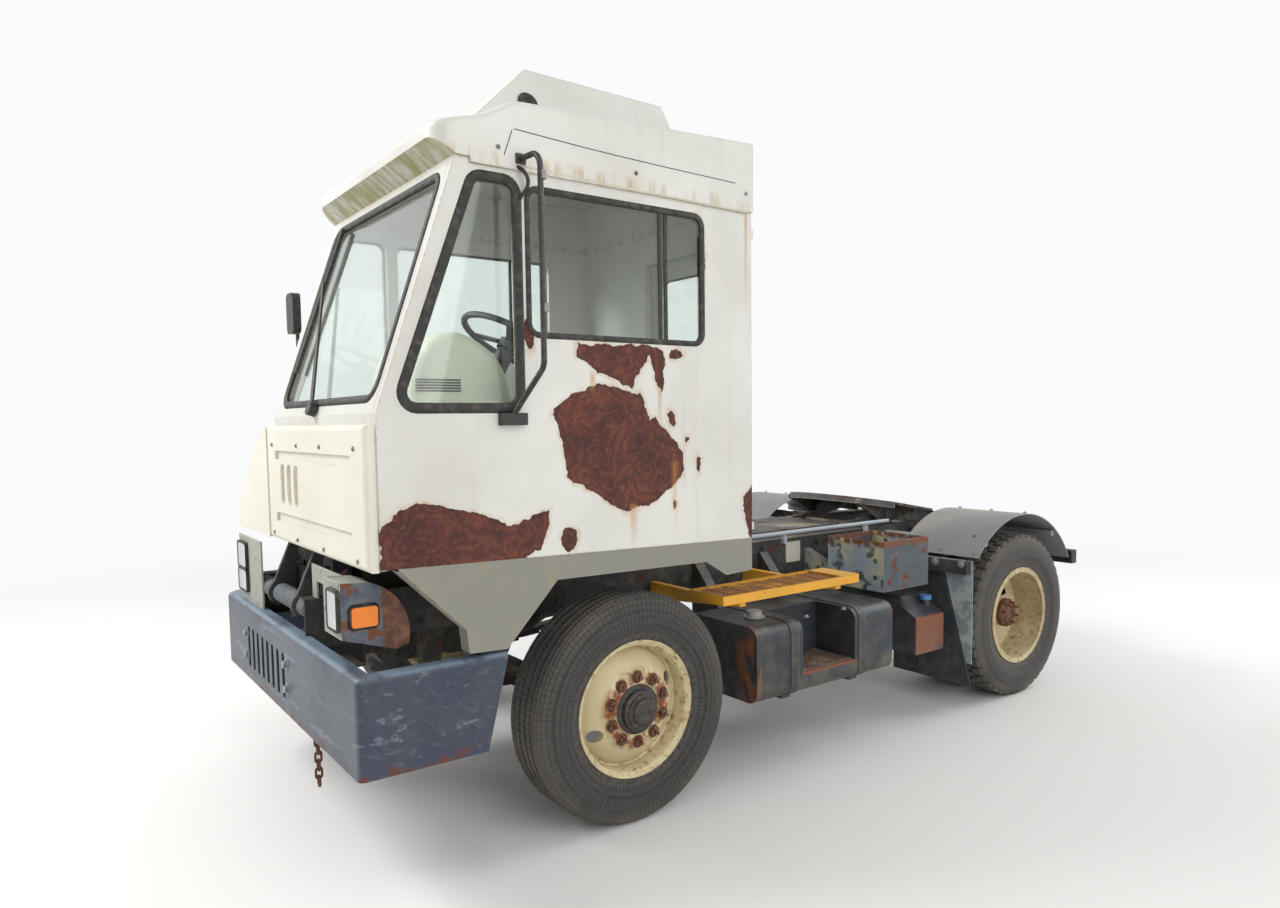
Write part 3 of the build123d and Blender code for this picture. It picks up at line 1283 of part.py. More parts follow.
# Roof cap: one moulding with a visor over the windscreen, hollow from below
roof_rear_rise = 290
roof_front_rise = 236
visor_step_rise = 162
visor_tip_rise = 112
visor_tip_depth = 52
roof_rear_top = cab_head_z + roof_rear_rise
roof_front_top = cab_head_z + roof_front_rise
roof_break_x = ahead(575)
visor_step_x = ahead(705)
visor_step_z = cab_head_z + visor_step_rise
visor_tip_x = ahead(893)
visor_tip_top = cab_head_z + visor_tip_rise
visor_tip_bottom = visor_tip_top - visor_tip_depth
roof_wall = 34
roof_corner_r = 90
roof_round = 26
roof_lip = 14
roof_lip_drop = 20
roof_lip_front_x = ahead(760)
with BuildPart() as cab_roof:
    with BuildSketch(side_plane(cab_left_y + roof_lip)):
        Polygon((cab_rear_x, cab_head_z), (cab_rear_x, roof_rear_top), (roof_break_x, roof_front_top),
                (visor_step_x, visor_step_z), (visor_tip_x, visor_tip_top), (visor_tip_x, visor_tip_bottom),
                (screen_head_x, cab_head_z), align=None)
    extrude(amount=cab_left_y - cab_right_y + 2 * roof_lip)
    fillet(cab_roof.edges().filter_by(Axis.Y).sort_by(Axis.Z)[-3:-1], radius=2 * roof_corner_r)
    fillet(cab_roof.edges().filter_by(Axis.Z).group_by(Axis.X)[-1], radius=roof_corner_r)
    roof_faces = cab_roof.faces().filter_by(lambda face: face.normal_at().Z > 0.5)
    fillet(roof_faces.edges().filter_by(Axis.Y, reverse=True), radius=roof_round)
    with BuildSketch(side_plane(cab_inner_left_y)):
        Polygon((cab_rear_x + cab_wall, cab_head_z - 1), (cab_rear_x + cab_wall, roof_rear_top - roof_wall),
                (roof_break_x - 10, roof_front_top - roof_wall),
                (visor_step_x - 40, visor_step_z - roof_wall), (screen_head_x - 50, cab_head_z - 1),
                align=None)
    extrude(amount=cab_inner_left_y - cab_inner_right_y, mode=Mode.SUBTRACT)
    for lip_y, lip_side in ((cab_left_y + roof_lip, Align.MAX), (cab_right_y - roof_lip, Align.MIN)):
        with Locations((cab_rear_x, lip_y, cab_head_z)):
            Box(roof_lip_front_x - cab_rear_x, roof_lip - sit_gap, roof_lip_drop,
                align=(Align.MIN, lip_side, Align.MAX))
write(cab_roof, "cab_roof")


def roof_z(x):
    """Height of the roof's top at a place behind its break."""
    return roof_rear_top + (roof_front_top - roof_rear_top) * (x - cab_rear_x) / (roof_break_x - cab_rear_x)


# Air conditioner on the roof, with a long sloping nose
unit_middle_y = (cab_left_y + cab_right_y) / 2
unit_half_width = 370
unit_top_half_width = 292
unit_rise = 235
unit_edge = 14
unit_fall = 10
unit_top = roof_rear_top + unit_rise
unit_nose_x = ahead(600)
unit_top_front_x = ahead(312)
unit_top_rear_x = ahead(-410)
unit_rear_x = ahead(-480)
with BuildPart() as roof_unit:
    with BuildSketch(side_plane(unit_middle_y + unit_half_width)):
        Polygon((unit_nose_x, roof_z(unit_nose_x)), (unit_nose_x, roof_z(unit_nose_x) + unit_edge),
                (unit_top_front_x, unit_top), (unit_top_rear_x, unit_top - unit_fall),
                (unit_rear_x, roof_z(unit_rear_x) + unit_edge), (unit_rear_x, roof_z(unit_rear_x)), align=None)
    extrude(amount=2 * unit_half_width)
    for side in (1, -1):
        lean = unit_half_width - unit_top_half_width
        with BuildSketch(Plane.YZ.offset(unit_rear_x - 1)):
            foot_y = unit_middle_y + side * (unit_half_width + 1)
            Polygon((foot_y, roof_front_top + 30), (foot_y - side * lean, unit_top + 1),
                    (foot_y + side * 5, unit_top + 1), (foot_y + side * 5, roof_front_top + 30), align=None)
        extrude(amount=unit_nose_x - unit_rear_x + 2, mode=Mode.SUBTRACT)
write(roof_unit, "roof_unit")

# Skirt: grey folded sheet that hangs from the left side, cut away over the wheel
skirt_sheet = 10
skirt_y = cab_left_y - 2
skirt_return = 62
skirt_front_x = ahead(1070)
skirt_knee = (ahead(815), 990)
skirt_tip_front = (ahead(805), 900)
skirt_tip_rear = (ahead(649), 892)
skirt_arch = (ahead(422), 1131)
skirt_rear_edge = [(ahead(-352), 1120), (ahead(-472), 1047), (cab_rear_x, 1054)]


def sill_z(x):
    """Height of the cab side's lower edge."""
    share = (x - cab_rear_x) / (cab_front_x - cab_rear_x)
    return cab_sill_rear_z + (cab_sill_front_z - cab_sill_rear_z) * share


with BuildPart() as cab_skirt:
    with BuildSketch(side_plane(skirt_y)):
        Polygon((cab_rear_x, sill_z(cab_rear_x)), (skirt_front_x, sill_z(skirt_front_x)),
                skirt_knee, skirt_tip_front, skirt_tip_rear, skirt_arch, *skirt_rear_edge, align=None)
    extrude(amount=skirt_sheet)
    return_top = sill_z(skirt_front_x) - skirt_sheet
    with BuildSketch(side_plane(skirt_y - skirt_sheet)):
        Polygon((skirt_front_x, return_top), skirt_knee, skirt_tip_front,
                (skirt_tip_front[0] - skirt_sheet, skirt_tip_front[1]),
                (skirt_knee[0] - skirt_sheet, skirt_knee[1] + 4),
                (skirt_front_x - 2 * skirt_sheet, return_top), align=None)
    extrude(amount=skirt_return)
write(cab_skirt, "cab_skirt")

# Front panel: moulded cover on the front wall, with two troughs and three vent slots
panel_front_x = ahead(1172)
panel_left_y = 1168
panel_right_y = -152
panel_bottom = cab_floor_bottom
panel_top = 1752
panel_round = 22
trough_depth = 12
# Each row: left y, right y, lower z, upper z
troughs = [(1022, -10, 1600, 1642), (1022, -20, 1324, 1366)]
vent_y = (107, 210, 313)
vent_z = 1496
vent_height = 178
vent_width = 72
with BuildPart() as front_panel:
    with Locations((cab_front_x, panel_right_y, panel_bottom)):
        Box(panel_front_x - cab_front_x, panel_left_y - panel_right_y, panel_top - panel_bottom,
            align=(Align.MIN, Align.MIN, Align.MIN))
    fillet(front_panel.faces().sort_by(Axis.X)[-1].edges(), radius=panel_round)
    with BuildSketch(Plane.YZ.offset(panel_front_x - trough_depth)):
        for left_y, right_y, low_z, high_z in troughs:
            with Locations(((left_y + right_y) / 2, (low_z + high_z) / 2)):
                RectangleRounded(left_y - right_y, high_z - low_z, 14)
        for slot_y in vent_y:
            with Locations((slot_y, vent_z)):
                SlotOverall(vent_height, vent_width, rotation=90)
    extrude(amount=trough_depth + 1, mode=Mode.SUBTRACT)
write(front_panel, "front_panel")

# Side hood: sloping moulding right of the front panel, open below and behind
hood_rear_x = ahead(250)
hood_wall = 12
hood_outline = [(cab_right_y, cab_floor_bottom), (cab_right_y, panel_top - 8), (-225, panel_top - 8),
                (-569, 1533), (-735, 1371), (-780, 1263), (-772, cab_floor_bottom)]
hood_inside = [(cab_right_y + 1, cab_floor_bottom - 1), (cab_right_y + 1, panel_top - 8 - hood_wall),
               (-222, panel_top - 8 - hood_wall), (-562, 1522), (-724, 1365), (-767, 1261),
               (-759, cab_floor_bottom - 1)]
with BuildPart() as side_hood:
    with BuildSketch(Plane.YZ.offset(hood_rear_x)):
        Polygon(*hood_outline, align=None)
    extrude(amount=panel_front_x - hood_rear_x)
    with BuildSketch(Plane.YZ.offset(hood_rear_x - 1)):
        Polygon(*hood_inside, align=None)
    extrude(amount=panel_front_x - hood_rear_x + 1 - hood_wall, mode=Mode.SUBTRACT)
write(side_hood, "side_hood")

# Steering column with its boot, and the wheel on top of it
wheel_tilt = 30
wheel_ring_r = 215
wheel_tube_r = 14
wheel_hub_r = 46
wheel_rise = 40
spoke_width = 34
spoke_thickness = 9
column_y = 740
column_top = Vector(ahead(395), column_y, 2060)
column_dir = Vector(-sin(radians(wheel_tilt)), 0, cos(radians(wheel_tilt)))
column_r = 38
column_foot_r = 60
column_length = 430
wheel_gap = 6


def column_plane(distance):
    """Plane square to the steering column at a distance up from its top."""
    return Plane(origin=column_top + column_dir * distance, x_dir=(0, 1, 0), z_dir=column_dir)


def column_sheath(spare):
    """Tapered boot and tube of the column, made larger all round by a spare distance."""
    with BuildPart(mode=Mode.PRIVATE) as sheath:
        with BuildSketch(column_plane(-column_length - spare)):
            Circle(column_foot_r + spare)
        with BuildSketch(column_plane(-60)):
            Circle(column_r + spare)
        loft()
        with BuildSketch(column_plane(-60)):
            Circle(column_r + spare)
        extrude(amount=60 - wheel_gap)
    return sheath.part


with BuildPart() as steering_column:
    add(column_sheath(0))
    with BuildSketch(column_plane(-wheel_gap)):
        Circle(15)
    extrude(amount=wheel_gap - run_gap)
write(steering_column, "steering_column")

# Dashboard: moulded pedestal under the screen, with a domed pod round the column and the instruments
dash_left_y = 1090
dash_right_y = 330
dash_front_x = cab_front_x - cab_wall
dash_shelf = [(dash_front_x, cab_floor_top), (dash_front_x, 1772), (ahead(930), 1815), (ahead(640), 1840),
              (ahead(590), 1800), (ahead(650), 1640), (ahead(860), 1560), (ahead(900), cab_floor_top)]
pod_left_y = 1000
pod_right_y = 500
pod_foot_z = 1790
pod_curve = [(ahead(915), pod_foot_z), (ahead(908), 1950), (ahead(846), 2058), (ahead(745), 2105),
             (ahead(640), 2075), (ahead(555), 2010), (ahead(505), 1900), (ahead(496), pod_foot_z)]
pod_round = 60
with BuildPart() as dashboard:
    with BuildSketch(side_plane(pod_left_y)):
        with BuildLine():
            pod_line = Spline(*pod_curve)
            Line(pod_line @ 1, pod_line @ 0)
        make_face()
    extrude(amount=pod_left_y - pod_right_y)
    pod_sides = dashboard.faces().filter_by(Axis.Y)
    fillet([e for e in pod_sides.edges() if e.center().Z > pod_foot_z + 1], radius=pod_round)
    with BuildSketch(side_plane(dash_left_y)):
        Polygon(*dash_shelf, align=None)
    extrude(amount=dash_left_y - dash_right_y)
    add(column_sheath(sit_gap), mode=Mode.SUBTRACT)
write(dashboard, "dashboard")

with BuildPart() as steering_wheel:
    with BuildSketch(Plane(origin=column_top + column_dir * wheel_rise, x_dir=column_dir, z_dir=(0, 1, 0))):
        with Locations((0, wheel_ring_r)):
            RegularPolygon(wheel_tube_r, 8)
    revolve(axis=Axis(column_top, column_dir))
    with BuildSketch(column_plane(0)):
        Circle(wheel_hub_r)
    extrude(amount=wheel_rise + 3)
    with BuildSketch(column_plane(wheel_rise - spoke_thickness - 1)):
        for spoke_angle in (90, 210, 330):
            with Locations(Location((0, 0, 0), (0, 0, spoke_angle))):
                Rectangle(wheel_ring_r - 4, spoke_width, align=(Align.MIN, Align.CENTER))
    extrude(amount=spoke_thickness)
write(steering_wheel, "steering_wheel")

# Driver's seat: base, cushion and back
seat_x = ahead(-60)
seat_y = 700
seat_width = 480
cushion_top = 1740
back_top = 2050
with BuildPart() as seat_base:
    with BuildSketch(Plane.XY.offset(cab_floor_top)):
        with Locations((seat_x, seat_y)):
            RectangleRounded(400, 380, 40)
    with BuildSketch(Plane.XY.offset(cushion_top - 120)):
        with Locations((seat_x, seat_y)):
            RectangleRounded(300, 300, 40)
    loft()
write(seat_base, "seat_base")

with BuildPart() as driver_seat:
    with BuildSketch(side_plane(seat_y + seat_width / 2)):
        Polygon((seat_x + 280, cushion_top - 120), (seat_x + 280, cushion_top - 10),
                (seat_x - 160, cushion_top - 30), (seat_x - 250, back_top), (seat_x - 340, back_top),
                (seat_x - 260, cushion_top - 120), align=None)
    extrude(amount=seat_width)
    fillet(driver_seat.edges().filter_by(Axis.Y).sort_by(Axis.Z)[-2:], radius=35)
write(driver_seat, "driver_seat")

# Mirror arms: bent tubes on feet; the left one carries no head
arm_tube_r = 11
strut_tube_r = 8
mirror_reach = 160
mirror_reach_y = cab_left_y + mirror_reach
left_arm_x = ahead(558)
left_foot_x = ahead(612)
left_foot_z = 1765
left_arm_top = cab_head_z + 21
left_arm_low_z = 1955
arm_head_left_y = cab_left_y + roof_lip
right_reach_y = -mirror_reach_y
right_strut_x = ahead(920)
right_strut_z = 2250
right_pole_x = ahead(690)
right_pole_top_z = 2530
right_pole_low_z = 2080
right_foot_x = ahead(1025)
right_foot_width = 50
right_foot_z = 1985
left_arm_route = [(left_arm_x, arm_head_left_y + 4, left_arm_top), (left_arm_x, mirror_reach_y, left_arm_top - 6),
                  (left_arm_x, mirror_reach_y, left_arm_low_z),
                  (left_foot_x, cab_left_y + 14, left_foot_z + 13)]
right_arm_route = [(right_pole_x, right_reach_y, right_pole_top_z),
                   (right_pole_x, right_reach_y, right_pole_low_z),
                   (right_foot_x, cab_right_y - 14, right_foot_z)]
right_strut_route = [(right_strut_x, cab_right_y - 14, right_strut_z),
                     (right_pole_x, right_reach_y, right_strut_z)]
arm_bend_r = 60
foot_height = 46
with BuildPart() as mirror_arms:
    for route, tube_r in ((left_arm_route, arm_tube_r), (right_arm_route, arm_tube_r),
                          (right_strut_route, strut_tube_r)):
        with BuildLine() as arm_line:
            if len(route) == 2:
                Line(*route)
            else:
                FilletPolyline(*route, radius=arm_bend_r)
        start_dir = (Vector(*route[1]) - Vector(*route[0])).normalized()
        with BuildSketch(Plane(origin=route[0], z_dir=start_dir)):
            Circle(tube_r)
        sweep(path=arm_line.line)
    with Locations((left_foot_x, cab_left_y, left_foot_z)):
        Box(110, 30, foot_height, align=(Align.CENTER, Align.MIN, Align.CENTER))
    with Locations((right_foot_x, cab_right_y, right_foot_z), (right_strut_x, cab_right_y, right_strut_z)):
        Box(right_foot_width, 26, foot_height, align=(Align.CENTER, Align.MAX, Align.CENTER))
    with Locations((left_arm_x, arm_head_left_y, left_arm_top)):
        Box(40, 10, foot_height - 10, align=(Align.CENTER, Align.MIN, Align.CENTER))
write(mirror_arms, "mirror_arms")

mirror_head_z = 2410
mirror_head_height = 235
mirror_head_width = 140
mirror_head_depth = 46
with BuildPart() as mirror_head:
    with BuildSketch(Plane.YZ.offset(right_pole_x + arm_tube_r + sit_gap)):
        with Locations((right_reach_y + mirror_head_width / 2 - arm_tube_r, mirror_head_z)):
            RectangleRounded(mirror_head_width, mirror_head_height, 36)
    extrude(amount=mirror_head_depth)
write(mirror_head, "mirror_head")

# Wipers: motor on the cowl, and the arm with its blade up the screen's right edge
blade_top = screen_margin + screen_height - 13
with BuildPart() as wiper:
    with BuildSketch(screen_plane(0)):
        with Locations((470, 24)):
            Circle(30)
    extrude(amount=34)
    with BuildSketch(screen_plane(-16)):
        Polygon((455, 20), (485, 28), (45, 640), (30, 630), align=None)
    extrude(amount=8)
    with BuildSketch(screen_plane(0)):
        Polygon((8, 210), (24, 206), (54, blade_top), (38, blade_top + 4), align=None)
    extrude(amount=17)
write(wiper, "wiper")

# Lamp brackets: a side box at the left on an arm from the rail, an upright plate at the right
lamp_box_front_x = ahead(1218)
lamp_box_outer_y = 1000
lamp_box_inner_y = 800
lamp_box_top = 1186
lamp_box_bottom = 980
lamp_plate = 8
lamp_arm_x = ahead(1130)
lamp_arm_z = 1140
lamp_box_rear_x = ahead(1120)
fin_bulge = (ahead(973), 1040)
fin_foot = (ahead(969), 932)
fin_heel = (ahead(1020), 918)
right_plate_x = rail_front_x
right_plate_top = 1205
right_lamp_y = -585
right_lamp_top = 1172
right_plate_y = (-245, -690)
with BuildPart() as lamp_brackets:
    for start_y in (lamp_box_outer_y, lamp_box_inner_y + lamp_plate):
        with BuildSketch(side_plane(start_y)):
            with BuildLine():
                fin = ThreePointArc((lamp_box_rear_x, lamp_box_top - 6), fin_bulge, fin_foot)
                Polyline(fin @ 1, fin_heel, (lamp_box_front_x, lamp_box_bottom),
                         (lamp_box_front_x, lamp_box_top), fin @ 0)
            make_face()
        extrude(amount=lamp_plate)
    with Locations((lamp_box_front_x, lamp_box_inner_y, lamp_box_bottom)):
        Box(lamp_plate, lamp_box_outer_y - lamp_box_inner_y, lamp_box_top - lamp_box_bottom,
            align=(Align.MAX, Align.MIN, Align.MIN))
    with Locations((lamp_box_rear_x, lamp_box_inner_y, lamp_box_top - lamp_plate - 6)):
        Box(lamp_box_front_x - lamp_box_rear_x, lamp_box_outer_y - lamp_box_inner_y, lamp_plate,
            align=(Align.MIN, Align.MIN, Align.MIN))
    with Locations((lamp_arm_x, rail_outer_y - 60, lamp_arm_z)):
        Box(lamp_plate, lamp_box_inner_y - rail_outer_y + 60 + lamp_plate, 66,
            align=(Align.MIN, Align.MIN, Align.CENTER))
    with Locations((lamp_arm_x, rail_outer_y - 60, rail_top)):
        Box(lamp_plate, 60, lamp_arm_z - rail_top + 33, align=(Align.MIN, Align.MIN, Align.MIN))
    with Locations((right_plate_x, right_plate_y[1], bumper_top)):
        Box(lamp_plate, right_plate_y[0] - right_plate_y[1], right_plate_top - bumper_top,
            align=(Align.MIN, Align.MIN, Align.MIN))
write(lamp_brackets, "lamp_brackets")

# Lamps: the two headlamps, the amber marker on the side box, and the two tail lamps
left_lamp_width = 112
left_lamp_height = 146
right_lamp_width = 168
right_lamp_heights = (128, 110)
lamp_spacing = 6
lamp_corner_r = 16
marker_x = ahead(1137)
marker_z = 1057
marker_width = 96
marker_height = 74
marker_depth = 16
tail_lamp_r = 34
tail_lamp_y = tail_arm_y - 90
with BuildPart() as lamps:
    with BuildSketch(Plane.YZ.offset(lamp_box_front_x)):
        with Locations((lamp_box_outer_y - lamp_spacing - left_lamp_width / 2,
                        (lamp_box_top + lamp_box_bottom) / 2)):
            RectangleRounded(left_lamp_width, left_lamp_height, lamp_corner_r)
    extrude(amount=lamp_depth)
    lens_top = right_lamp_top
    for lens_height in right_lamp_heights:
        with BuildSketch(Plane.YZ.offset(right_plate_x + lamp_plate)):
            with Locations((right_lamp_y, lens_top - lens_height / 2)):
                RectangleRounded(right_lamp_width, lens_height, lamp_corner_r)
        extrude(amount=lamp_depth)
        lens_top = lens_top - lens_height - lamp_spacing
    with BuildSketch(side_plane(lamp_box_outer_y + marker_depth)):
        with Locations((marker_x, marker_z)):
            RectangleRounded(marker_width, marker_height, 12)
    extrude(amount=marker_depth)
    for lamp_y in (-tail_lamp_y, tail_lamp_y):
        with BuildSketch(Plane.YZ.offset(rear_end_x)):
            with Locations((lamp_y, tail_arm_z)):
                Circle(tail_lamp_r)
        extrude(amount=lamp_depth)
write(lamps, "lamps")
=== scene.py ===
"""Looks of a terminal tractor: a worn yard tractor with an offset cab and a lifting fifth wheel."""
import math

import bpy
from mathutils import Matrix, Vector


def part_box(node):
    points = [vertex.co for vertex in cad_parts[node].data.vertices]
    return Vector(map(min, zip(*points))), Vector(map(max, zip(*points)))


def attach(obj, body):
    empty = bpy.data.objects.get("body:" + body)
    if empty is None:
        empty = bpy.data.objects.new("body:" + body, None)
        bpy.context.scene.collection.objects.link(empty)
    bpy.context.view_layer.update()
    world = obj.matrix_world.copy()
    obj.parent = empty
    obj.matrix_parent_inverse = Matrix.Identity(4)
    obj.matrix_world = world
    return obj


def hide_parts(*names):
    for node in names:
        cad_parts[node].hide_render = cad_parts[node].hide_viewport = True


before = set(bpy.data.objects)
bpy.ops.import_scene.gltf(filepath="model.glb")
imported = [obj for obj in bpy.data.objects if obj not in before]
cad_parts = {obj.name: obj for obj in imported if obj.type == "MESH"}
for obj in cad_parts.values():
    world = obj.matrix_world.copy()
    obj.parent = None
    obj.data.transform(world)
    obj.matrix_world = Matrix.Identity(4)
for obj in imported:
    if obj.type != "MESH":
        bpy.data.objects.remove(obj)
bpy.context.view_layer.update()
scene = bpy.context.scene
scene.view_settings.view_transform = "Standard"

# Camera: a person's height above the ground, off the tractor's front left corner. Its place and aim
# come from the tractor's own corners, whose real sizes are known.
camera_heading = -2.2062
camera_pitch = -0.0722
camera_roll = -0.0128
bpy.ops.object.camera_add(location=(3.37, 4.109, 1.75))
camera = bpy.context.object
camera.name = "photo_camera"
camera.rotation_euler = (Matrix.Rotation(camera_heading - math.pi / 2, 3, "Z")
                         @ Matrix.Rotation(camera_pitch + math.pi / 2, 3, "X")
                         @ Matrix.Rotation(camera_roll, 3, "Z")).to_euler()
camera.data.sensor_width = 36
camera.data.lens = 24.476
camera.data.shift_y = 0.0238
camera.data.clip_end = 400
scene.camera = camera


# Floor, world and lamps: a plain pale floor under soft light, strongest from the front right as the
# sun stands in the photograph, with a wide fill from the camera's side.
tree = None


def work_on(new_tree):
    """Makes all helpers that add nodes work on this node tree from now on."""
    global tree
    tree = new_tree


def feed(socket, value):
    """Links a socket to another one, or sets its value."""
    if isinstance(value, bpy.types.NodeSocket):
        tree.links.new(value, socket)
    else:
        socket.default_value = value


def add_node(kind, settings=None, **sockets):
    """Adds a shader node with its own settings; sockets are its inputs by name, or A, B, C in order."""
    node = tree.nodes.new("ShaderNode" + kind)
    for key, value in (settings or {}).items():
        setattr(node, key, value)
    for key, value in sockets.items():
        feed(node.inputs["ABC".index(key) if key in ("A", "B", "C") else key.replace("_", " ")], value)
    return node


def maths(way, first, second=0):
    """Result of one sum on two values."""
    return add_node("Math", {"operation": way}, A=first, B=second).outputs[0]


def vector_maths(way, first, second=(0, 0, 0)):
    """Result of one sum on two vectors: a value for a length or a dot product, else a vector."""
    node = add_node("VectorMath", {"operation": way}, A=first, B=second)
    return node.outputs["Value" if way in ("LENGTH", "DOT_PRODUCT") else "Vector"]


def sharpen(value, low, high):
    """Turns a value into a share that runs from 0 at low to 1 at high."""
    return add_node(
        "MapRange", {"interpolation_type": "SMOOTHSTEP"}, Value=value, From_Min=low, From_Max=high).outputs[0]


def place_vector(stretch=(1, 1, 1), centre=(0, 0, 0)):
    """A piece's own coordinates from a centre, each direction stretched."""
    spot = add_node("TexCoord").outputs["Object"]
    return vector_maths("MULTIPLY", vector_maths("SUBTRACT", spot, centre), stretch)


def seen_directly():
    """Share that is 1 where the background is seen, mirrored or through glass too, and 0 for its light."""
    path = add_node("LightPath").outputs
    mirrored = maths("MAXIMUM", path["Is Glossy Ray"], path["Is Transmission Ray"])
    return maths("MAXIMUM", path["Is Camera Ray"], mirrored)


def shader_input(name):
    """One input of a material's main shader."""
    return tree.nodes["Principled BSDF"].inputs[name]


def new_finish(name, colour, roughness, metallic=0):
    """A new material with its first colour, for the helpers to work on."""
    finish = bpy.data.materials.new(name)
    finish.use_nodes = True
    work_on(finish.node_tree)
    for key, value in (("Base Color", colour), ("Roughness", roughness), ("Metallic", metallic)):
        shader_input(key).default_value = value
    return finish


sky_colour = (0.955, 0.962, 0.97, 1)
sky_share = 0.55
fade_near = 3.2
fade_far = 9.5
bpy.ops.mesh.primitive_plane_add(size=260, location=(0, 0, 0))
floor = bpy.context.object
floor.name = "studio_floor"
floor_finish = new_finish("studio_floor", (0.8, 0.79, 0.77, 1), 0.9)
floor_distance = vector_maths("LENGTH", place_vector())
floor_fade = maths("MULTIPLY", sharpen(floor_distance, fade_near, fade_far), seen_directly())
floor_glow = add_node("Emission", None, Color=sky_colour, Strength=1)
floor_mix = add_node(
    "MixShader", None, A=floor_fade, B=tree.nodes["Principled BSDF"].outputs[0], C=floor_glow.outputs[0])
feed(tree.nodes["Material Output"].inputs["Surface"], floor_mix.outputs[0])
floor.data.materials.append(floor_finish)

world = bpy.data.worlds.new("pale_sky")
world.use_nodes = True
scene.world = world
work_on(world.node_tree)
sky_strength = add_node("MapRange", None, Value=seen_directly(), To_Min=sky_share)
tree.nodes["Background"].inputs["Color"].default_value = sky_colour
feed(tree.nodes["Background"].inputs["Strength"], sky_strength.outputs[0])

lamp_target = Vector((0, 0, 1.2))
# Each row: name, place, size in metres, power in watts
for lamp_name, lamp_place, lamp_size, lamp_power in (
        ("key_lamp", (7, -3.5, 7), 4, 720),
        ("fill_lamp", (1.5, 8.5, 4.5), 7, 330),
        ("back_lamp", (-7.5, 2.5, 5), 5, 300)):
    bpy.ops.object.light_add(type="AREA", location=lamp_place)
    lamp = bpy.context.object
    lamp.name = lamp_name
    lamp.data.size = lamp_size
    lamp.data.energy = lamp_power
    lamp.rotation_euler = (lamp_target - Vector(lamp_place)).to_track_quat("-Z", "Y").to_euler()


# Front bumper: folded steel plate, painted dark blue-grey. Its rolled top edge is pale, partly scuffed steel
# and partly a painted highlight. Its left side face is darkened as painted shade, with navy blotches of
# painted sheen, and the inside behind the slots is painted near-black as shade. Two bolts at each side of the
# slots hold it to the frame's ends.
def tint(code):
    """Colour of a six-letter code as it looks on a screen, for a shader's socket."""
    shares = [int(code[k:k + 2], 16) / 255 for k in (0, 2, 4)]
    return tuple(s / 12.92 if s < 0.04 else ((s + 0.055) / 1.055) ** 2.4 for s in shares) + (1,)


def cloud(scale, detail=4, stretch=(1, 1, 1), roughness=0.6):
    """A noise between 0 and 1 on the piece's own coordinates."""
    return add_node("TexNoise", None, Vector=place_vector(stretch), Scale=scale,
                    Detail=detail, Roughness=roughness).outputs[0]


def blotches(scale, detail, low, high, stretch=(1, 1, 1)):
    """A noise sharpened into blotches."""
    return sharpen(cloud(scale, detail, stretch), low, high)


def part_of(vector, axis):
    """The X, Y or Z of a vector."""
    return add_node("SeparateXYZ", None, Vector=vector).outputs[axis]


def sharp_edges(width):
    """Share that is 1 along edges and 0 on flat faces, for paint that is rubbed off there."""
    rounded = add_node("Bevel", {"samples": 4}, Radius=width).outputs[0]
    straight = add_node("NewGeometry").outputs["Normal"]
    return sharpen(vector_maths("DOT_PRODUCT", rounded, straight), 0.985, 0.9)


def facing(axis, sign=1, low=0.5, high=0.8):
    """Share that is 1 on faces that look along an axis."""
    value = part_of(add_node("NewGeometry").outputs["Normal"], axis)
    return sharpen(maths("MULTIPLY", value, sign), low, high)


def within(axis, low, high, soft=0.004):
    """Share that is 1 where a piece's own X, Y or Z lies between two places."""
    value = part_of(place_vector(), axis)
    return all_of(sharpen(value, low - soft, low + soft), sharpen(value, high + soft, high - soft))


def combine(way, values):
    """Result of one sum over several values."""
    result = values[0]
    for value in values[1:]:
        result = maths(way, result, value)
    return result


def all_of(*shares):
    """Product of several shares."""
    return combine("MULTIPLY", shares)


def blend(share, first, second):
    """Colour between two colours, by a share. Each colour is a code, a socket or four numbers."""
    node = add_node("Mix", {"data_type": "RGBA"})
    for place, value in ((0, share), (6, first), (7, second)):
        feed(node.inputs[place], tint(value) if isinstance(value, str) else value)
    return node.outputs[2]


def mottled(first, second, scale, detail, *bounds):
    """Colour between two codes by a noise, which bounds sharpen."""
    share = cloud(scale, detail)
    return blend(sharpen(share, *bounds) if bounds else share, first, second)


def layered(below, *layers):
    """A colour with others laid over it. Each layer is a colour and its shares."""
    for colour, *shares in layers:
        below = blend(all_of(*shares), below, colour)
    return below


def paint_over(*layers):
    """Lays other colours over the material's present one."""
    socket = shader_input("Base Color")
    below = socket.links[0].from_socket if socket.links else tuple(socket.default_value)
    feed(socket, layered(below, *layers))


def set_roughness(base, share, more):
    """Roughness that a share raises over its base."""
    feed(shader_input("Roughness"), maths("ADD", base, maths("MULTIPLY", share, more)))


def roughen(height, strength, distance=0.002):
    """Adds a bump of a height map, after any bump that is there already."""
    bump = add_node("Bump", None, Height=height, Strength=strength, Distance=distance)
    normal = shader_input("Normal")
    if normal.links:
        feed(bump.inputs["Normal"], normal.links[0].from_socket)
    feed(normal, bump.outputs[0])


def give_finish(finish, *node_names):
    """Puts a material on CAD nodes, in place of their plain one."""
    for node_name in node_names:
        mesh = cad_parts[node_name].data
        mesh.materials.clear()
        mesh.materials.append(finish)


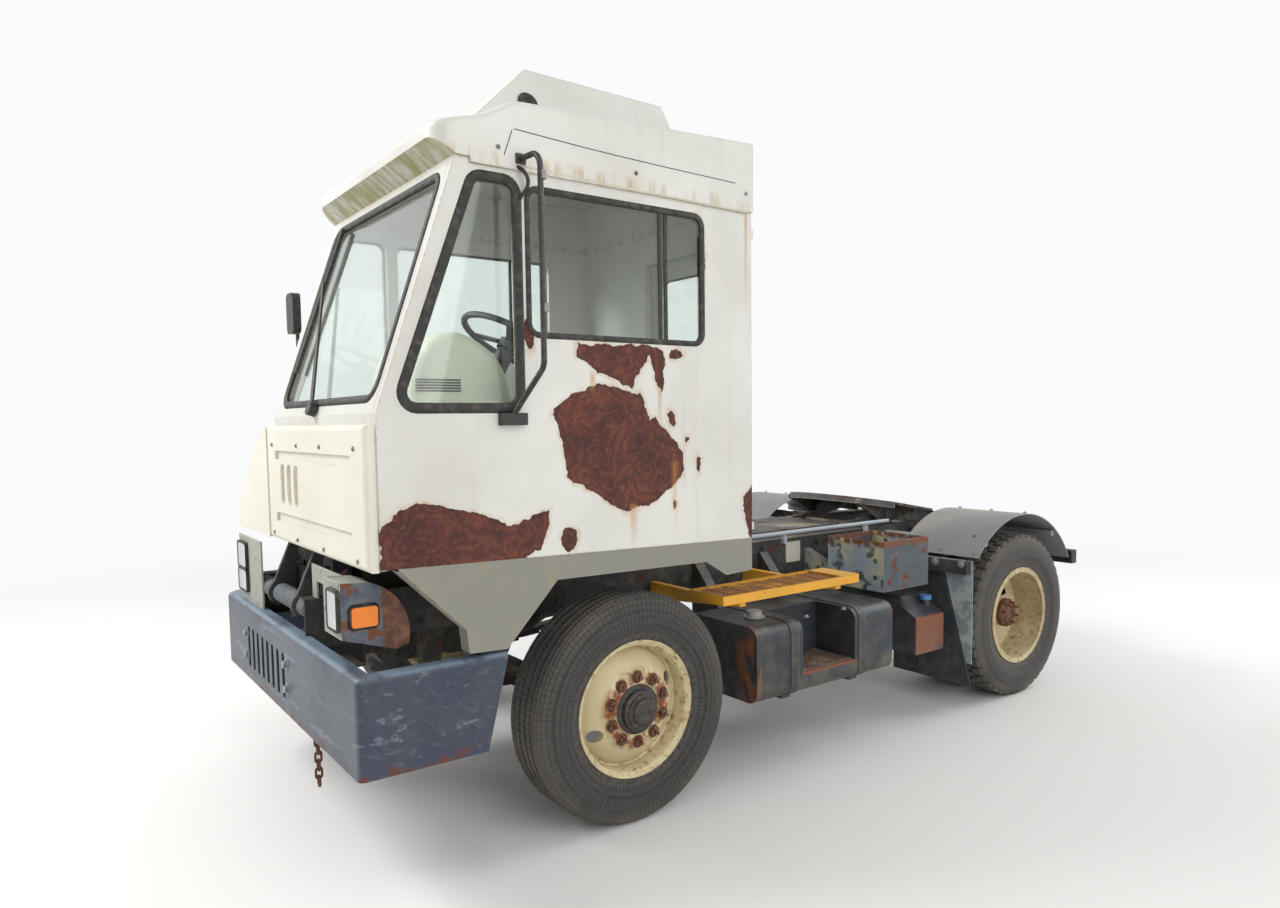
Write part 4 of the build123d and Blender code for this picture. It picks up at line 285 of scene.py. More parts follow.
def worn_paint(name, colours, wear, rusting, dust, roughness, grain, nodes="", dust_code="b3a58c"):
    """Old paint on steel: uneven in colour, rubbed through at edges, rusting in spots and dusty on top.

    The colours are the paint's, the bare edges' and the rust's, if it isn't plain red. Wear, rusting and
    dust run from 0 to 1, grain is the broadest noise's scale, and nodes are the CAD nodes that get it.
    """
    paint, chips, rust = (colours.split() + [rust_red])[:3]
    finish = new_finish(name, tint(paint), roughness)
    broad = cloud(grain, 3)
    fine = cloud(grain * 14, 6)
    speck = cloud(grain * 60, 3)
    ragged = cloud(grain * 3.2, 9, roughness=0.68)
    rubbed = all_of(sharp_edges(0.006), sharpen(fine, 0.62 - 0.4 * wear, 0.8 - 0.4 * wear))
    eaten = sharpen(ragged, 0.7 - 0.24 * rusting, 0.725 - 0.24 * rusting)
    pits = all_of(sharpen(fine, 0.76 - 0.12 * rusting, 0.8 - 0.12 * rusting), sharpen(speck, 0.3, 0.5))
    spots = maths("MAXIMUM", eaten, pits)
    settled = all_of(facing("Z", 1, 0.3, 0.95), sharpen(broad, 0.75 - 0.6 * dust, 1.1 - 0.6 * dust))
    paint_over(
        (blend(0.22, paint, chips), sharpen(broad, 0.3, 0.7)),
        (blend(0.16, paint, dust_code), blotches(grain * 5, 7, 0.42, 0.8)), (chips, rubbed),
        (blend(speck, rust, blend(0.5, rust, "2a1610")), spots), (dust_code, settled, 0.75))
    dull = blend(maths("MAXIMUM", spots, settled), (roughness,) * 3 + (1,), (0.9, 0.9, 0.9, 1))
    set_roughness(dull, fine, 0.12)
    roughen(speck, 0.12, 0.001)
    roughen(maths("SUBTRACT", spots, rubbed), 0.3, 0.001)
    give_finish(finish, *nodes.split())
    return finish


def take(*pieces):
    """Leaves edit mode, selects only these objects and makes the first one active."""
    if bpy.context.object and bpy.context.object.mode != "OBJECT":
        bpy.ops.object.mode_set(mode="OBJECT")
    bpy.ops.object.select_all(action="DESELECT")
    for piece in pieces[::-1]:
        piece.select_set(True)
        bpy.context.view_layer.objects.active = piece


def settle(piece, name, body, finish, smooth=35):
    """Applies a piece's place, smooths it, gives its finish, and lets it ride on a body."""
    take(piece)
    bpy.ops.object.transform_apply(location=True, rotation=True, scale=True)
    bpy.ops.object.shade_smooth_by_angle(angle=math.radians(smooth))
    piece.name = name
    piece.data.name = name
    piece.data.materials.clear()
    piece.data.materials.append(finish)
    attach(piece, body)
    return piece


def join_pieces(pieces):
    """Joins several objects into the first one."""
    take(*pieces)
    if len(pieces) > 1:
        bpy.ops.object.join()
    return pieces[0]


def edit_all(piece, operator, **settings):
    """Runs a mesh operator on the whole of a piece in edit mode."""
    take(piece)
    bpy.ops.object.mode_set(mode="EDIT")
    bpy.ops.mesh.select_all(action="SELECT")
    operator(**settings)
    bpy.ops.object.mode_set(mode="OBJECT")
    return piece


def rounded_block(low, high, bevel, segments=2):
    """A block between two corners, its edges bevelled in edit mode."""
    take()
    low, high = Vector(low), Vector(high)
    bpy.ops.mesh.primitive_cube_add(size=1, location=(low + high) / 2)
    block = bpy.context.object
    block.scale = high - low
    bpy.ops.object.transform_apply(location=False, rotation=False, scale=True)
    return edit_all(block, bpy.ops.mesh.bevel, offset=bevel, segments=segments, affect="EDGES")


def cylinder(radius, depth, place, sides, rotation=(0, 0, 0)):
    """A round bar with its middle at a place."""
    take()
    bpy.ops.mesh.primitive_cylinder_add(
        vertices=sides, radius=radius, depth=depth, location=place, rotation=rotation)
    return bpy.context.object


def hex_bolt(width):
    """A hexagon head on a washer, looking up from the origin; width is across its corners."""
    washer = cylinder(width * 0.72, width * 0.14, (0, 0, width * 0.07), 20)
    head = cylinder(width * 0.5, width * 0.42, (0, 0, width * 0.35), 6)
    edit_all(head, bpy.ops.mesh.bevel, offset=width * 0.05, segments=1, affect="EDGES")
    return join_pieces([washer, head])


def copies_at(master, matrices):
    """Copies of a master in its stead, one at each matrix."""
    copies = []
    for matrix in matrices:
        one = master.copy()
        one.data = master.data.copy()
        one.matrix_world = matrix
        bpy.context.collection.objects.link(one)
        copies.append(one)
    bpy.data.objects.remove(master)
    take(*copies)
    bpy.ops.object.transform_apply(location=True, rotation=True, scale=True)
    return copies


def set_copies(master, places, outward):
    """Copies a master at several places, its own up direction turned to face one way, and joins them."""
    turned = Vector(outward).to_track_quat("Z", "Y").to_matrix().to_4x4()
    return join_pieces(copies_at(master, [Matrix.Translation(place) @ turned for place in places]))


rust_red = "5a2a1b"
rust_orange = "9a4f22"
bumper_low, bumper_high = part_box("front_bumper")
worn_paint("bumper_paint", "383e47 7f8a96", 0.85, 0.1, 0.25, 0.42, 2, "front_bumper", "8c98a6")
# Faces towards the left side: painted shade, with navy blotches of painted sheen.
flange = facing("Y", 1, 0.4, 0.9)
paint_over(
    ("23262c", flange, 0.5), ("232c49", flange, blotches(5, 6, 0.3, 0.62), 0.62),
    ("7d8895", blotches(9, 8, 0.6, 0.64, (1, 0.25, 2.2)), blotches(60, 4, 0.35, 0.5), 0.45),
    (rust_red, within("Z", 0, bumper_low.z + 0.03, 0.02), blotches(14, 8, 0.5, 0.56)),
    # Near-black inside the slots: painted shade.
    ("0d0e10", within("X", 2, bumper_high.x - 0.003, 0.001), within("Y", -0.45, 0.31),
     within("Z", 0.56, 0.82)),
    # Pale rolled top edge: scuffed steel and a painted highlight.
    ("7f93a6", within("Z", bumper_high.z - 0.012, bumper_high.z + 0.02, 0.006),
     blotches(7, 7, 0.34, 0.55, (1, 0.4, 1)), 0.55),
    ("6d7580", blotches(26, 7, 0.5, 0.72, (1, 0.12, 1.6)), 0.28))
bolt_steel = worn_paint("bolt_steel", "7c7f80 a5a6a4", 0.5, 0.35, 0.1, 0.4, 9)
spots = [(bumper_high.x - 0.001, y, z) for y in (-0.432, 0.29) for z in (0.635, 0.742)]
settle(set_copies(hex_bolt(0.036), spots, (1, 0, 0)), "bumper_bolts", "chassis", bolt_steel)

# Frame: pressed channel rails with welded crossmembers and the tail bar, in black paint that has gathered
# years of dust and rust. Bolt heads stand in two rows on the rails' webs, and the axles are dirtier.
chassis_finish = worn_paint(
    "chassis_black", "1d1f20 4a4a48", 0.5, 0.42, 0.5, 0.55, 3, "frame_rails crossmembers tail_bar cab_floor")
worn_paint("axle_black", "24211e 4c443a 4f2f20", 0.4, 0.6, 0.5, 0.75, 5,
           "front_axle_beam front_springs rear_axle_housing knuckle_left knuckle_right tie_rod")
worn_paint("deck_steel", "6e6f6c 98978f", 0.6, 0.7, 0.6, 0.7, 4, "deck_plate")
worn_paint("pale_tube", "9aa3ab c4c8ca", 0.4, 0.1, 0.3, 0.45, 6, "rail_tube")
rail_face_y = 0.432
plate_x = (-0.552, -0.428)
rail_bolt_gap = 0.235
rail_bolts = []
for side in (-1, 1):
    spots = [(k * rail_bolt_gap, side * rail_face_y, z) for k in range(-9, 10) for z in (0.868, 0.998)
             if side < 0 or not plate_x[0] < k * rail_bolt_gap < plate_x[1]]
    rail_bolts.append(set_copies(hex_bolt(0.026), spots, (0, side, 0)))
settle(join_pieces(rail_bolts), "rail_bolts", "chassis", chassis_finish)
plate_finish = worn_paint("rail_plate_pale", "b9b6a8 8f8c80", 0.5, 0.25, 0.4, 0.5, 9)
rail_plate = rounded_block(
    (plate_x[0], rail_face_y - 0.0005, 0.888), (plate_x[1], rail_face_y + 0.003, 1.012), 0.001, 1)
settle(rail_plate, "rail_plate", "chassis", plate_finish)


# Tyres: moulded black rubber, dusty, seated on the rims by their beads. The front ones have ribs round
# them and a notched shoulder; the twin rear ones have a deep block tread.
def link_piece(name, shape):
    """A new object of a mesh or a curve."""
    piece = bpy.data.objects.new(name, shape)
    bpy.context.collection.objects.link(piece)
    return piece


def mesh_piece(name, spots, edges, faces):
    """A new object from its vertices and its edges or faces."""
    mesh = bpy.data.meshes.new(name)
    mesh.from_pydata(spots, edges, faces)
    return link_piece(name, mesh)


def turned_shape(outline, centre, steps):
    """Spins an outline of (radius, y) pairs about the Y direction through a centre (x, z)."""
    spots = [(centre[0], y, centre[1] + radius) for radius, y in outline]
    piece = mesh_piece("turned", spots, [(k, k + 1) for k in range(len(spots) - 1)], [])
    edit_all(piece, bpy.ops.mesh.spin, steps=steps, angle=2 * math.pi, center=(centre[0], 0, centre[1]),
             axis=(0, 1, 0))
    edit_all(piece, bpy.ops.mesh.remove_doubles, threshold=0.0002)
    return edit_all(piece, bpy.ops.mesh.normals_make_consistent, inside=False)


def radius_from(centre):
    """Distance from the axis across the tractor through a centre."""
    return vector_maths("LENGTH", place_vector((1, 0, 1), centre))


def tyre_rubber(name, centre):
    """Black rubber with dust in its low places, browner towards the tread, and scuffed walls."""
    finish = new_finish(name, tint("343332"), 0.82)
    radius = radius_from(centre)
    fine = cloud(40, 6)
    paint_over(
        ("504e4c", fine), ("6e675d", sharpen(radius, 0.4, 0.505), blotches(4.5, 4, 0.25, 0.7), 0.55),
        ("7a6f62", sharpen(radius, 0.35, 0.305), sharpen(fine, 0.3, 0.7), 0.5))
    rings = maths("SINE", maths("MULTIPLY", radius, 900))
    roughen(all_of(rings, sharpen(radius, 0.36, 0.37), sharpen(radius, 0.45, 0.44)), 0.12, 0.001)
    roughen(fine, 0.25, 0.001)
    return finish


tyre_r = 0.506
wheel_z = tyre_r
front_axle_x = 1.1955
rear_axle_x = -1.7505
front_wheel_y = 1.008
tyre_bead_r = 0.2863
tyre_steps = 120
sides = ((1, "left"), (-1, "right"))
# Each row: radius and half width of one place on a tyre's wall, from the bead outwards
tyre_wall = [(tyre_bead_r, 0.1), (0.3, 0.107), (0.318, 0.117), (0.345, 0.128), (0.372, 0.135), (0.376, 0.139),
             (0.405, 0.1395), (0.432, 0.137), (0.436, 0.132), (0.462, 0.127), (0.484, 0.121), (0.496, 0.11)]


def tyre_outline(mid, grooves, groove_width, groove):
    """Outline of a tyre from its inner bead over the tread to its outer bead, with grooves round it."""
    tread = [(tyre_r - 0.002, -0.098), (tyre_r, -0.07), (tyre_r, 0.07), (tyre_r - 0.002, 0.098)]
    for place in grooves:
        tread += [(tyre_r, place - groove_width / 2), (tyre_r - groove, place - groove_width / 3),
                  (tyre_r - groove, place + groove_width / 3), (tyre_r, place + groove_width / 2)]
    line = [(r, -y) for r, y in tyre_wall] + sorted(tread, key=lambda spot: spot[1]) + tyre_wall[::-1]
    return [(r, mid + y) for r, y in line + [(tyre_bead_r, -0.1)]]


for side, place in sides:
    rubber = tyre_rubber(f"front_rubber_{place}", (front_axle_x, 0, wheel_z))
    tyre = turned_shape(
        tyre_outline(side * front_wheel_y, (-0.066, -0.023, 0.023, 0.066), 0.011, 0.009),
        (front_axle_x, wheel_z), tyre_steps)
    take(tyre)
    for polygon in tyre.data.polygons:
        spot = polygon.center
        turn = math.atan2(spot.z - wheel_z, spot.x - front_axle_x) + 10
        polygon.select = (
            0.486 < math.hypot(spot.x - front_axle_x, spot.z - wheel_z) < 0.503
            and abs(abs(spot.y) - front_wheel_y) > 0.1
            and math.floor(turn / (2 * math.pi / tyre_steps)) % 2 == 1)
    bpy.ops.object.mode_set(mode="EDIT")
    bpy.ops.mesh.select_mode(type="FACE")
    bpy.ops.mesh.inset(thickness=0.003, depth=-0.004, use_individual=True)
    settle(tyre, f"front_tyre_tread_{place}", f"front_wheel_{place}", rubber, 40)
    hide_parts(f"front_tyre_{place}")

lug_count = 44
lug_rise = 0.014
lug_pitch = 2 * math.pi / lug_count
lug_length = lug_pitch * tyre_r * 0.72
for side, place in sides:
    rubber = tyre_rubber(f"rear_rubber_{place}", (rear_axle_x, 0, wheel_z))
    rear_parts = []
    for mid in (1.056, 0.722):
        outline = tyre_outline(side * mid, (0,), 0.01, 0.004)
        rear_parts.append(
            turned_shape([(min(r, tyre_r - lug_rise), y) for r, y in outline], (rear_axle_x, wheel_z), 96))
        # Each row of blocks: middle from the tyre's middle, width, share of the pitch that it is set on by
        for block_y, block_width, lag in ((-0.082, 0.058, 0), (-0.026, 0.04, 0.5), (0.026, 0.04, 0),
                                          (0.082, 0.058, 0.5)):
            block = rounded_block((-lug_length / 2, -block_width / 2, -0.006),
                                  (lug_length / 2, block_width / 2, lug_rise), 0.003, 1)
            axle = Matrix.Translation((rear_axle_x, side * mid + block_y, wheel_z))
            out = Matrix.Translation((0, 0, tyre_r - lug_rise)) @ block.matrix_world
            rear_parts += copies_at(block, [axle @ Matrix.Rotation((turn + lag) * lug_pitch, 4, "Y") @ out
                                            for turn in range(lug_count)])
    rear_tyre = settle(join_pieces(rear_parts), f"rear_tyre_treads_{place}", f"rear_wheels_{place}", rubber,
                       40)
    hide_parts(f"rear_tyres_{place}")


# Wheels: pressed steel discs in cream paint, each held by ten nuts. Rust runs from the nuts and the hand
# holes, and the front hubs carry a black oil cap.
def wheel_paint(name, centre):
    """Cream paint with rust round the nuts, and rust-brown blotches in the disc's deep ring towards the rim.
    """
    finish = new_finish(name, tint("d6cba6"), 0.5)
    radius = radius_from(centre)
    fine = cloud(34, 7)
    broad = cloud(7, 4)
    round_nuts = all_of(
        sharpen(radius, 0.095, 0.12), sharpen(radius, 0.195, 0.155),
        sharpen(maths("ADD", fine, broad), 0.85, 1.15))
    well = all_of(sharpen(radius, 0.236, 0.268), sharpen(fine, 0.5, 0.68), 0.7)
    rusty = maths("MAXIMUM", round_nuts, well)
    paint_over(("b9a97e", broad), ("8a7550", sharpen(fine, 0.62, 0.8), 0.3),
               (blend(fine, rust_red, rust_orange), rusty))
    set_roughness(0.42, rusty, 0.4)
    roughen(fine, 0.2, 0.001)
    return finish


def surface_at(node_name, start, direction):
    """Spot and outward direction where a straight line first meets a CAD node."""
    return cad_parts[node_name].ray_cast(Vector(start), Vector(direction))[1:3]


def ring_of(axle_x, y, radius, count, first, sense=1):
    """Places on a circle round a wheel's axis, from a first angle on."""
    turns = [first + k * 2 * math.pi / count for k in range(count)]
    return [(axle_x + radius * math.cos(turn), y, wheel_z + sense * radius * math.sin(turn))
            for turn in turns]


def studded_bolt(width, stud_r, stud_length, stud_z, stud_sides):
    """A hexagon nut on its stud."""
    bolt = hex_bolt(width)
    return join_pieces([bolt, cylinder(stud_r, stud_length, (0, 0, stud_z), stud_sides)])


hub_black = worn_paint("hub_black", "1f1d1c 55504a 5d3a26", 0.5, 0.5, 0.35, 0.5, 9)
nut_rust = worn_paint("nut_rust", "5d4030 8a6a50 6b3a20", 0.6, 0.8, 0.2, 0.75, 14)
nut_circle_r = 0.143
nut_count = 10
first_nut = math.radians(18)
disc_face_y = 1.12
# Each outline: (radius, distance out from the disc's face or the axle's end) pairs
front_disc = [
    (0.108, 0), (0.15, 0), (0.164, -0.001), (0.174, -0.006), (0.183, -0.014), (0.247, -0.07), (0.256, -0.08),
    (0.2625, -0.088), (0.27, -0.084), (0.2705, -0.03), (0.278, -0.012), (0.29, -0.003), (0.2965, 0.004),
    (0.301, 0.003), (0.301, -0.003), (0.2962, -0.0045), (0.286, -0.0048), (0.286, -0.219), (0.301, -0.22),
    (0.301, -0.229), (0.276, -0.229), (0.27, -0.22), (0.264, -0.11), (0.254, -0.101), (0.242, -0.092),
    (0.178, -0.03), (0.164, -0.014), (0.108, -0.012), (0.108, 0)]
hub_outline = [
    (0.108, -0.135), (0.112, -0.012), (0.109, 0.004), (0.098, 0.007), (0.092, 0.01), (0.088, 0.03),
    (0.08, 0.034), (0.0735, 0.036), (0.0735, 0.044), (0.061, 0.046), (0.056, 0.058), (0.05, 0.0615),
    (0.028, 0.062), (0.026, 0.059), (0, 0.059)]
flange_outline = [
    (0.09, -0.03), (0.0895, -0.006), (0.078, 0.002), (0.052, 0.0022), (0.049, 0), (0.045, 0), (0, 0.0005)]
for side, place in sides:
    outward = (0, side, 0)
    front_body, rear_body = f"front_wheel_{place}", f"rear_wheels_{place}"
    wheel = turned_shape([(r, side * (disc_face_y + y)) for r, y in front_disc], (front_axle_x, wheel_z), 96)
    holes = ring_of(front_axle_x, side * (disc_face_y - 0.05), 0.216, 2, math.radians(25), -1)
    cutter = join_pieces([cylinder(0.03, 0.12, hole, 32, (math.pi / 2, 0, 0)) for hole in holes])
    cut = wheel.modifiers.new("hand_holes", "BOOLEAN")
    cut.operation = "DIFFERENCE"
    cut.object = cutter
    take(wheel)
    bpy.ops.object.modifier_apply(modifier=cut.name)
    bpy.data.objects.remove(cutter)
    cream = wheel_paint(f"wheel_cream_{place}", (front_axle_x, 0, wheel_z))
    settle(wheel, f"front_disc_{place}", front_body, cream, 30)
    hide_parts(f"front_wheel_{place}")

    hub = turned_shape([(r, side * (disc_face_y + y)) for r, y in hub_outline], (front_axle_x, wheel_z), 48)
    settle(hub, f"hub_cap_{place}", front_body, hub_black, 30)
    nuts = ring_of(front_axle_x, side * (disc_face_y - 0.001), nut_circle_r, nut_count, first_nut, -1)
    settle(set_copies(studded_bolt(0.04, 0.0095, 0.04, 0.019, 16), nuts, outward), f"front_nuts_{place}",
           front_body, nut_rust, 30)
    cap_bolts = ring_of(front_axle_x, side * (disc_face_y + 0.044), 0.066, 6, 0.2)
    settle(set_copies(hex_bolt(0.012), cap_bolts, outward), f"hub_cap_bolts_{place}", front_body, nut_rust,
           30)

    rear_cream = wheel_paint(f"rear_cream_{place}", (rear_axle_x, 0, wheel_z))
    paint_over(("846a46", blotches(2.6, 5, 0.38, 0.66), within("Z", 0.22, 0.8, 0.03), 0.65))
    give_finish(rear_cream, f"rear_rims_{place}")
    hub_end_y = side * 1.096
    axle_flange = turned_shape(
        [(r, hub_end_y + side * y) for r, y in flange_outline], (rear_axle_x, wheel_z), 48)
    settle(axle_flange, f"axle_flange_{place}", rear_body, nut_rust, 30)
    flange_bolts = ring_of(rear_axle_x, hub_end_y - side * 0.001, 0.07, 8, 0.3)
    settle(set_copies(studded_bolt(0.026, 0.007, 0.034, 0.016, 14), flange_bolts, outward),
           f"axle_bolts_{place}", rear_body, nut_rust, 30)
    rear_nuts = [(x, surface_at(f"rear_rims_{place}", (x, y, z), (0, -side, 0))[0].y, z)
                 for x, y, z in ring_of(rear_axle_x, side * 1.5, nut_circle_r, nut_count, first_nut, -1)]
    settle(set_copies(hex_bolt(0.042), rear_nuts, outward), f"rear_nuts_{place}", rear_body, nut_rust,
           30)

# Engine, driveline, radiator and silencer: dull castings under dust, seen from below and through the gap
# over the bumper.
worn_paint("engine_dust", "2a2b2a 55534e 5a3a28", 0.4, 0.45, 0.6, 0.75, 5, "engine_block driveline")
worn_paint("silencer_steel", "5b4a3d 8b7f72 6d3a20", 0.5, 0.85, 0.3, 0.65, 6, "silencer")
give_finish(new_finish("radiator_fins", tint("151617"), 0.55, 0.3), "radiator")
fins = add_node("TexWave", {"bands_direction": "Z"}, Vector=place_vector(), Scale=90).outputs[1]
paint_over(("3a3a38", fins))
roughen(fins, 0.5)

# Tanks: welded sheet steel in black paint, hung in bolted straps; a bluish painted sheen lies in blotches on
# their outer faces. The fuel tank has a silver filler cap and a rusty tread in its step; the hydraulic tank
# has a blue cap and a rusty outer plate.
worn_paint(
    "tank_black", "1f2329 525960 6a3a22", 0.75, 0.22, 0.4, 0.4, 2.6, "fuel_tank hydraulic_tank air_tank")
tank_front_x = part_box("fuel_tank")[1].x
outer_faces = facing("Y", 1, 0.2, 0.7)
paint_over(
    # Bluish blotches high on the outer faces: a painted sheen.
    ("2a3442", blotches(2.2, 5, 0.45, 0.75), outer_faces, within("Z", 0.5, 0.79)),
    (mottled("5c3220", "8f5833", 40, 5), within("X", tank_front_x - 0.03, tank_front_x + 0.01, 0.01),
     within("Y", 1.05, 1.3, 0.05), blotches(16, 6, 0.46, 0.62, (1, 1, 0.35))),
    (mottled("8e8f8d", "c0c1bd", 50, 5), within("X", 0.31, 0.43), within("Y", 0.93, 1.04),
     within("Z", 0.768, 0.81, 0.001)),
    (mottled("2c5f9c", "5f8fc0", 40, 5), within("X", -1.043, -0.965), within("Y", 0.972, 1.048),
     within("Z", 0.6805, 0.72, 0.001)),
    (mottled("5a2e20", "8c5433", 45, 5), within("X", -1.06, -0.79), within("Y", 1.092, 1.11),
     blotches(6, 8, 0.36, 0.42)),
    ("6b6655", within("Z", 0.38, 0.5, 0.04), outer_faces, blotches(7, 7, 0.36, 0.66), 0.6),
    ("7a4628", within("X", -0.17, 0.226), within("Z", 0.488, 0.503), within("Y", 1.165, 1.2)))
worn_paint("strap_steel", "2b2c2d 6f6c66", 0.8, 0.3, 0.3, 0.5, 7, "tank_brackets")

tread_finish = worn_paint("tread_rust", "5b4136 8b7a6c", 0.6, 0.5, 0.5, 0.75, 6)
tread_pitch = 2 * math.pi / 0.026
tread_waves = [maths("SINE", all_of(part_of(place_vector(), axis), tread_pitch)) for axis in "XY"]
shaded_tread_holes = sharpen(all_of(*tread_waves), 0.55, 0.68)
# The grating's holes are painted near-black as the shade under it.
paint_over(("120f0e", shaded_tread_holes))
roughen(maths("SUBTRACT", 1, shaded_tread_holes), 0.8, 0.004)
tank_tread = rounded_block((-0.156, 0.914, 0.4995), (0.212, 1.174, 0.508), 0.002)
settle(tank_tread, "tank_tread", "chassis", tread_finish)
strap_bolts = set_copies(hex_bolt(0.02), [(x, 1.15, 0.768) for x in (0.1675, -0.1115)], (0, 0, 1))
settle(strap_bolts, "strap_bolts", "chassis", bolt_steel)

# Step: a yellow folded frame round a grating that boots have worn down to rust, with a plain yellow
# plate at its rear end.
worn_paint("step_yellow", "dd9f22 9a7238", 0.9, 0.16, 0.2, 0.5, 5, "step_platform")
paint_over((mottled("6a3f24", "a4763f", 60, 5), within("X", -0.104, 0.712), within("Y", 0.922, 1.138),
            within("Z", 0.925, 0.95), blotches(11, 7, 0.3, 0.5)))

# Valve box: an open bent-plate box behind the step, dark blue-grey with rusty rims; its front plate keeps
# pale paint that flakes.
worn_paint("box_weathered", "3f4850 7a7f80 7a4023", 0.8, 0.45, 0.4, 0.7, 3.4, "valve_box")
paint_over((mottled("b5b08a", "8d9aa6", 5, 4, 0.4, 0.6), facing("X"), blotches(9, 8, 0.4, 0.46)),
           (mottled("54301f", "85502f", 50, 5), within("Z", 1.03, 1.07, 0.012), blotches(20, 6, 0.36, 0.5)))

# Rear fenders and mud plates: grey bent sheet over the twin tyres, and dark sheets ahead of them that
# hang from bolted zinc gussets.
worn_paint("fender_grey", "77797a a5a6a5", 0.5, 0.18, 0.5, 0.42, 1.6, "rear_fenders")
fender_bolt_r = 0.6425
fender_bolts = []
for angle in (43, 97, 148):
    out = Vector((math.cos(math.radians(angle)), 0, math.sin(math.radians(angle))))
    rim = Vector((rear_axle_x, 0, wheel_z)) + out * fender_bolt_r
    spots = [(rim.x, y, rim.z) for y in (-1.15, -0.92, -0.69, 0.69, 0.92, 1.15)]
    fender_bolts.append(set_copies(hex_bolt(0.018), spots, out))
settle(join_pieces(fender_bolts), "fender_bolts", "chassis", bolt_steel)
worn_paint("mud_rubber", "2a2e31 4d5052 6a5a48", 0.3, 0.05, 0.5, 0.8, 2.4, "mud_plates")
paint_over((mottled("7d868b", "a4abad", 12, 6, 0.4, 0.6), within("X", -1.211, -1.2041, 0.0004),
            within("Z", 0.28, 0.95)))
hanger_face_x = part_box("mud_plates")[1].x - 0.0005
spots = [(hanger_face_x, side * y, z) for side in (-1, 1) for y, z in ((0.963, 0.885), (1.14, 0.89))]
settle(set_copies(hex_bolt(0.034), spots, (1, 0, 0)), "hanger_bolts", "chassis", bolt_steel)

# Boom and fifth wheel: the boom is grey-black plate; the fifth wheel is greasy, its top rubbed bright.
# The lift rods are chromed and the tow chain is bare rusty steel.
worn_paint("boom_grey", "3a3a38 6f6c66", 0.6, 0.55, 0.5, 0.6, 3.5, "boom lift_barrels")
worn_paint("fifth_steel", "1e1c1a b9b6ae 6a4a35", 0.9, 0.55, 0.3, 0.45, 5, "fifth_wheel")
paint_over(("8a8781", facing("Z", 1, 0.9, 0.97), blotches(5, 7, 0.38, 0.6, (1, 2.5, 1)), 0.75))
worn_paint("chain_rust", "54301f 7a523a 3c2218", 0.4, 0.5, 0.2, 0.8, 20, "tow_chain")
give_finish(new_finish("rod_chrome", tint("b9bcc0"), 0.18, 1), "lift_rods")
paint_over(("8d9094", cloud(30)))


# Cab shell: white painted steel, chalky with age. On the left side and the rear edge the paint has come
# away in large ragged patches over deep red rust, and rust water has run down below them.
def patch_oval(warped, x, z, half_x, half_z, turn):
    """Distance outside one oval on the cab's side, in metres; under 0 is inside."""
    place = add_node("Mapping", {"vector_type": "TEXTURE"}, Vector=warped, Location=(x, 0, z),
                     Rotation=(0, math.radians(turn), 0), Scale=(half_x, 1, half_z)).outputs[0]
    length = vector_maths("LENGTH", vector_maths("MULTIPLY", place, (1, 0, 1)))
    return maths("MULTIPLY", maths("SUBTRACT", length, 1), min(half_x, half_z))


def patch_outline(warped, corners):
    """Distance outside a straight-sided outline of (x, z) corners on the cab's side; under 0 is inside."""
    middle = sum((Vector(corner) for corner in corners), Vector((0, 0))) / len(corners)
    reaches = []
    for k, corner in enumerate(corners):
        here, after = Vector(corner), Vector(corners[(k + 1) % len(corners)])
        outward = Vector((after.y - here.y, here.x - after.x)).normalized()
        if outward.dot(here - middle) < 0:
            outward = -outward
        reach = vector_maths("DOT_PRODUCT", warped, (outward.x, 0, outward.y))
        reaches.append(maths("SUBTRACT", reach, outward.dot(here)))
    return combine("MAXIMUM", reaches)


def push_about(spot, scale, amount, detail):
    """Moves a place about by a noise, to fray what is drawn there."""
    noise = add_node("TexNoise", None, Vector=spot, Scale=scale, Detail=detail, Roughness=0.6)
    push = vector_maths("SUBTRACT", noise.outputs["Color"], (0.5, 0.5, 0.5))
    return vector_maths("ADD", spot, vector_maths("MULTIPLY", push, (amount, amount, amount)))


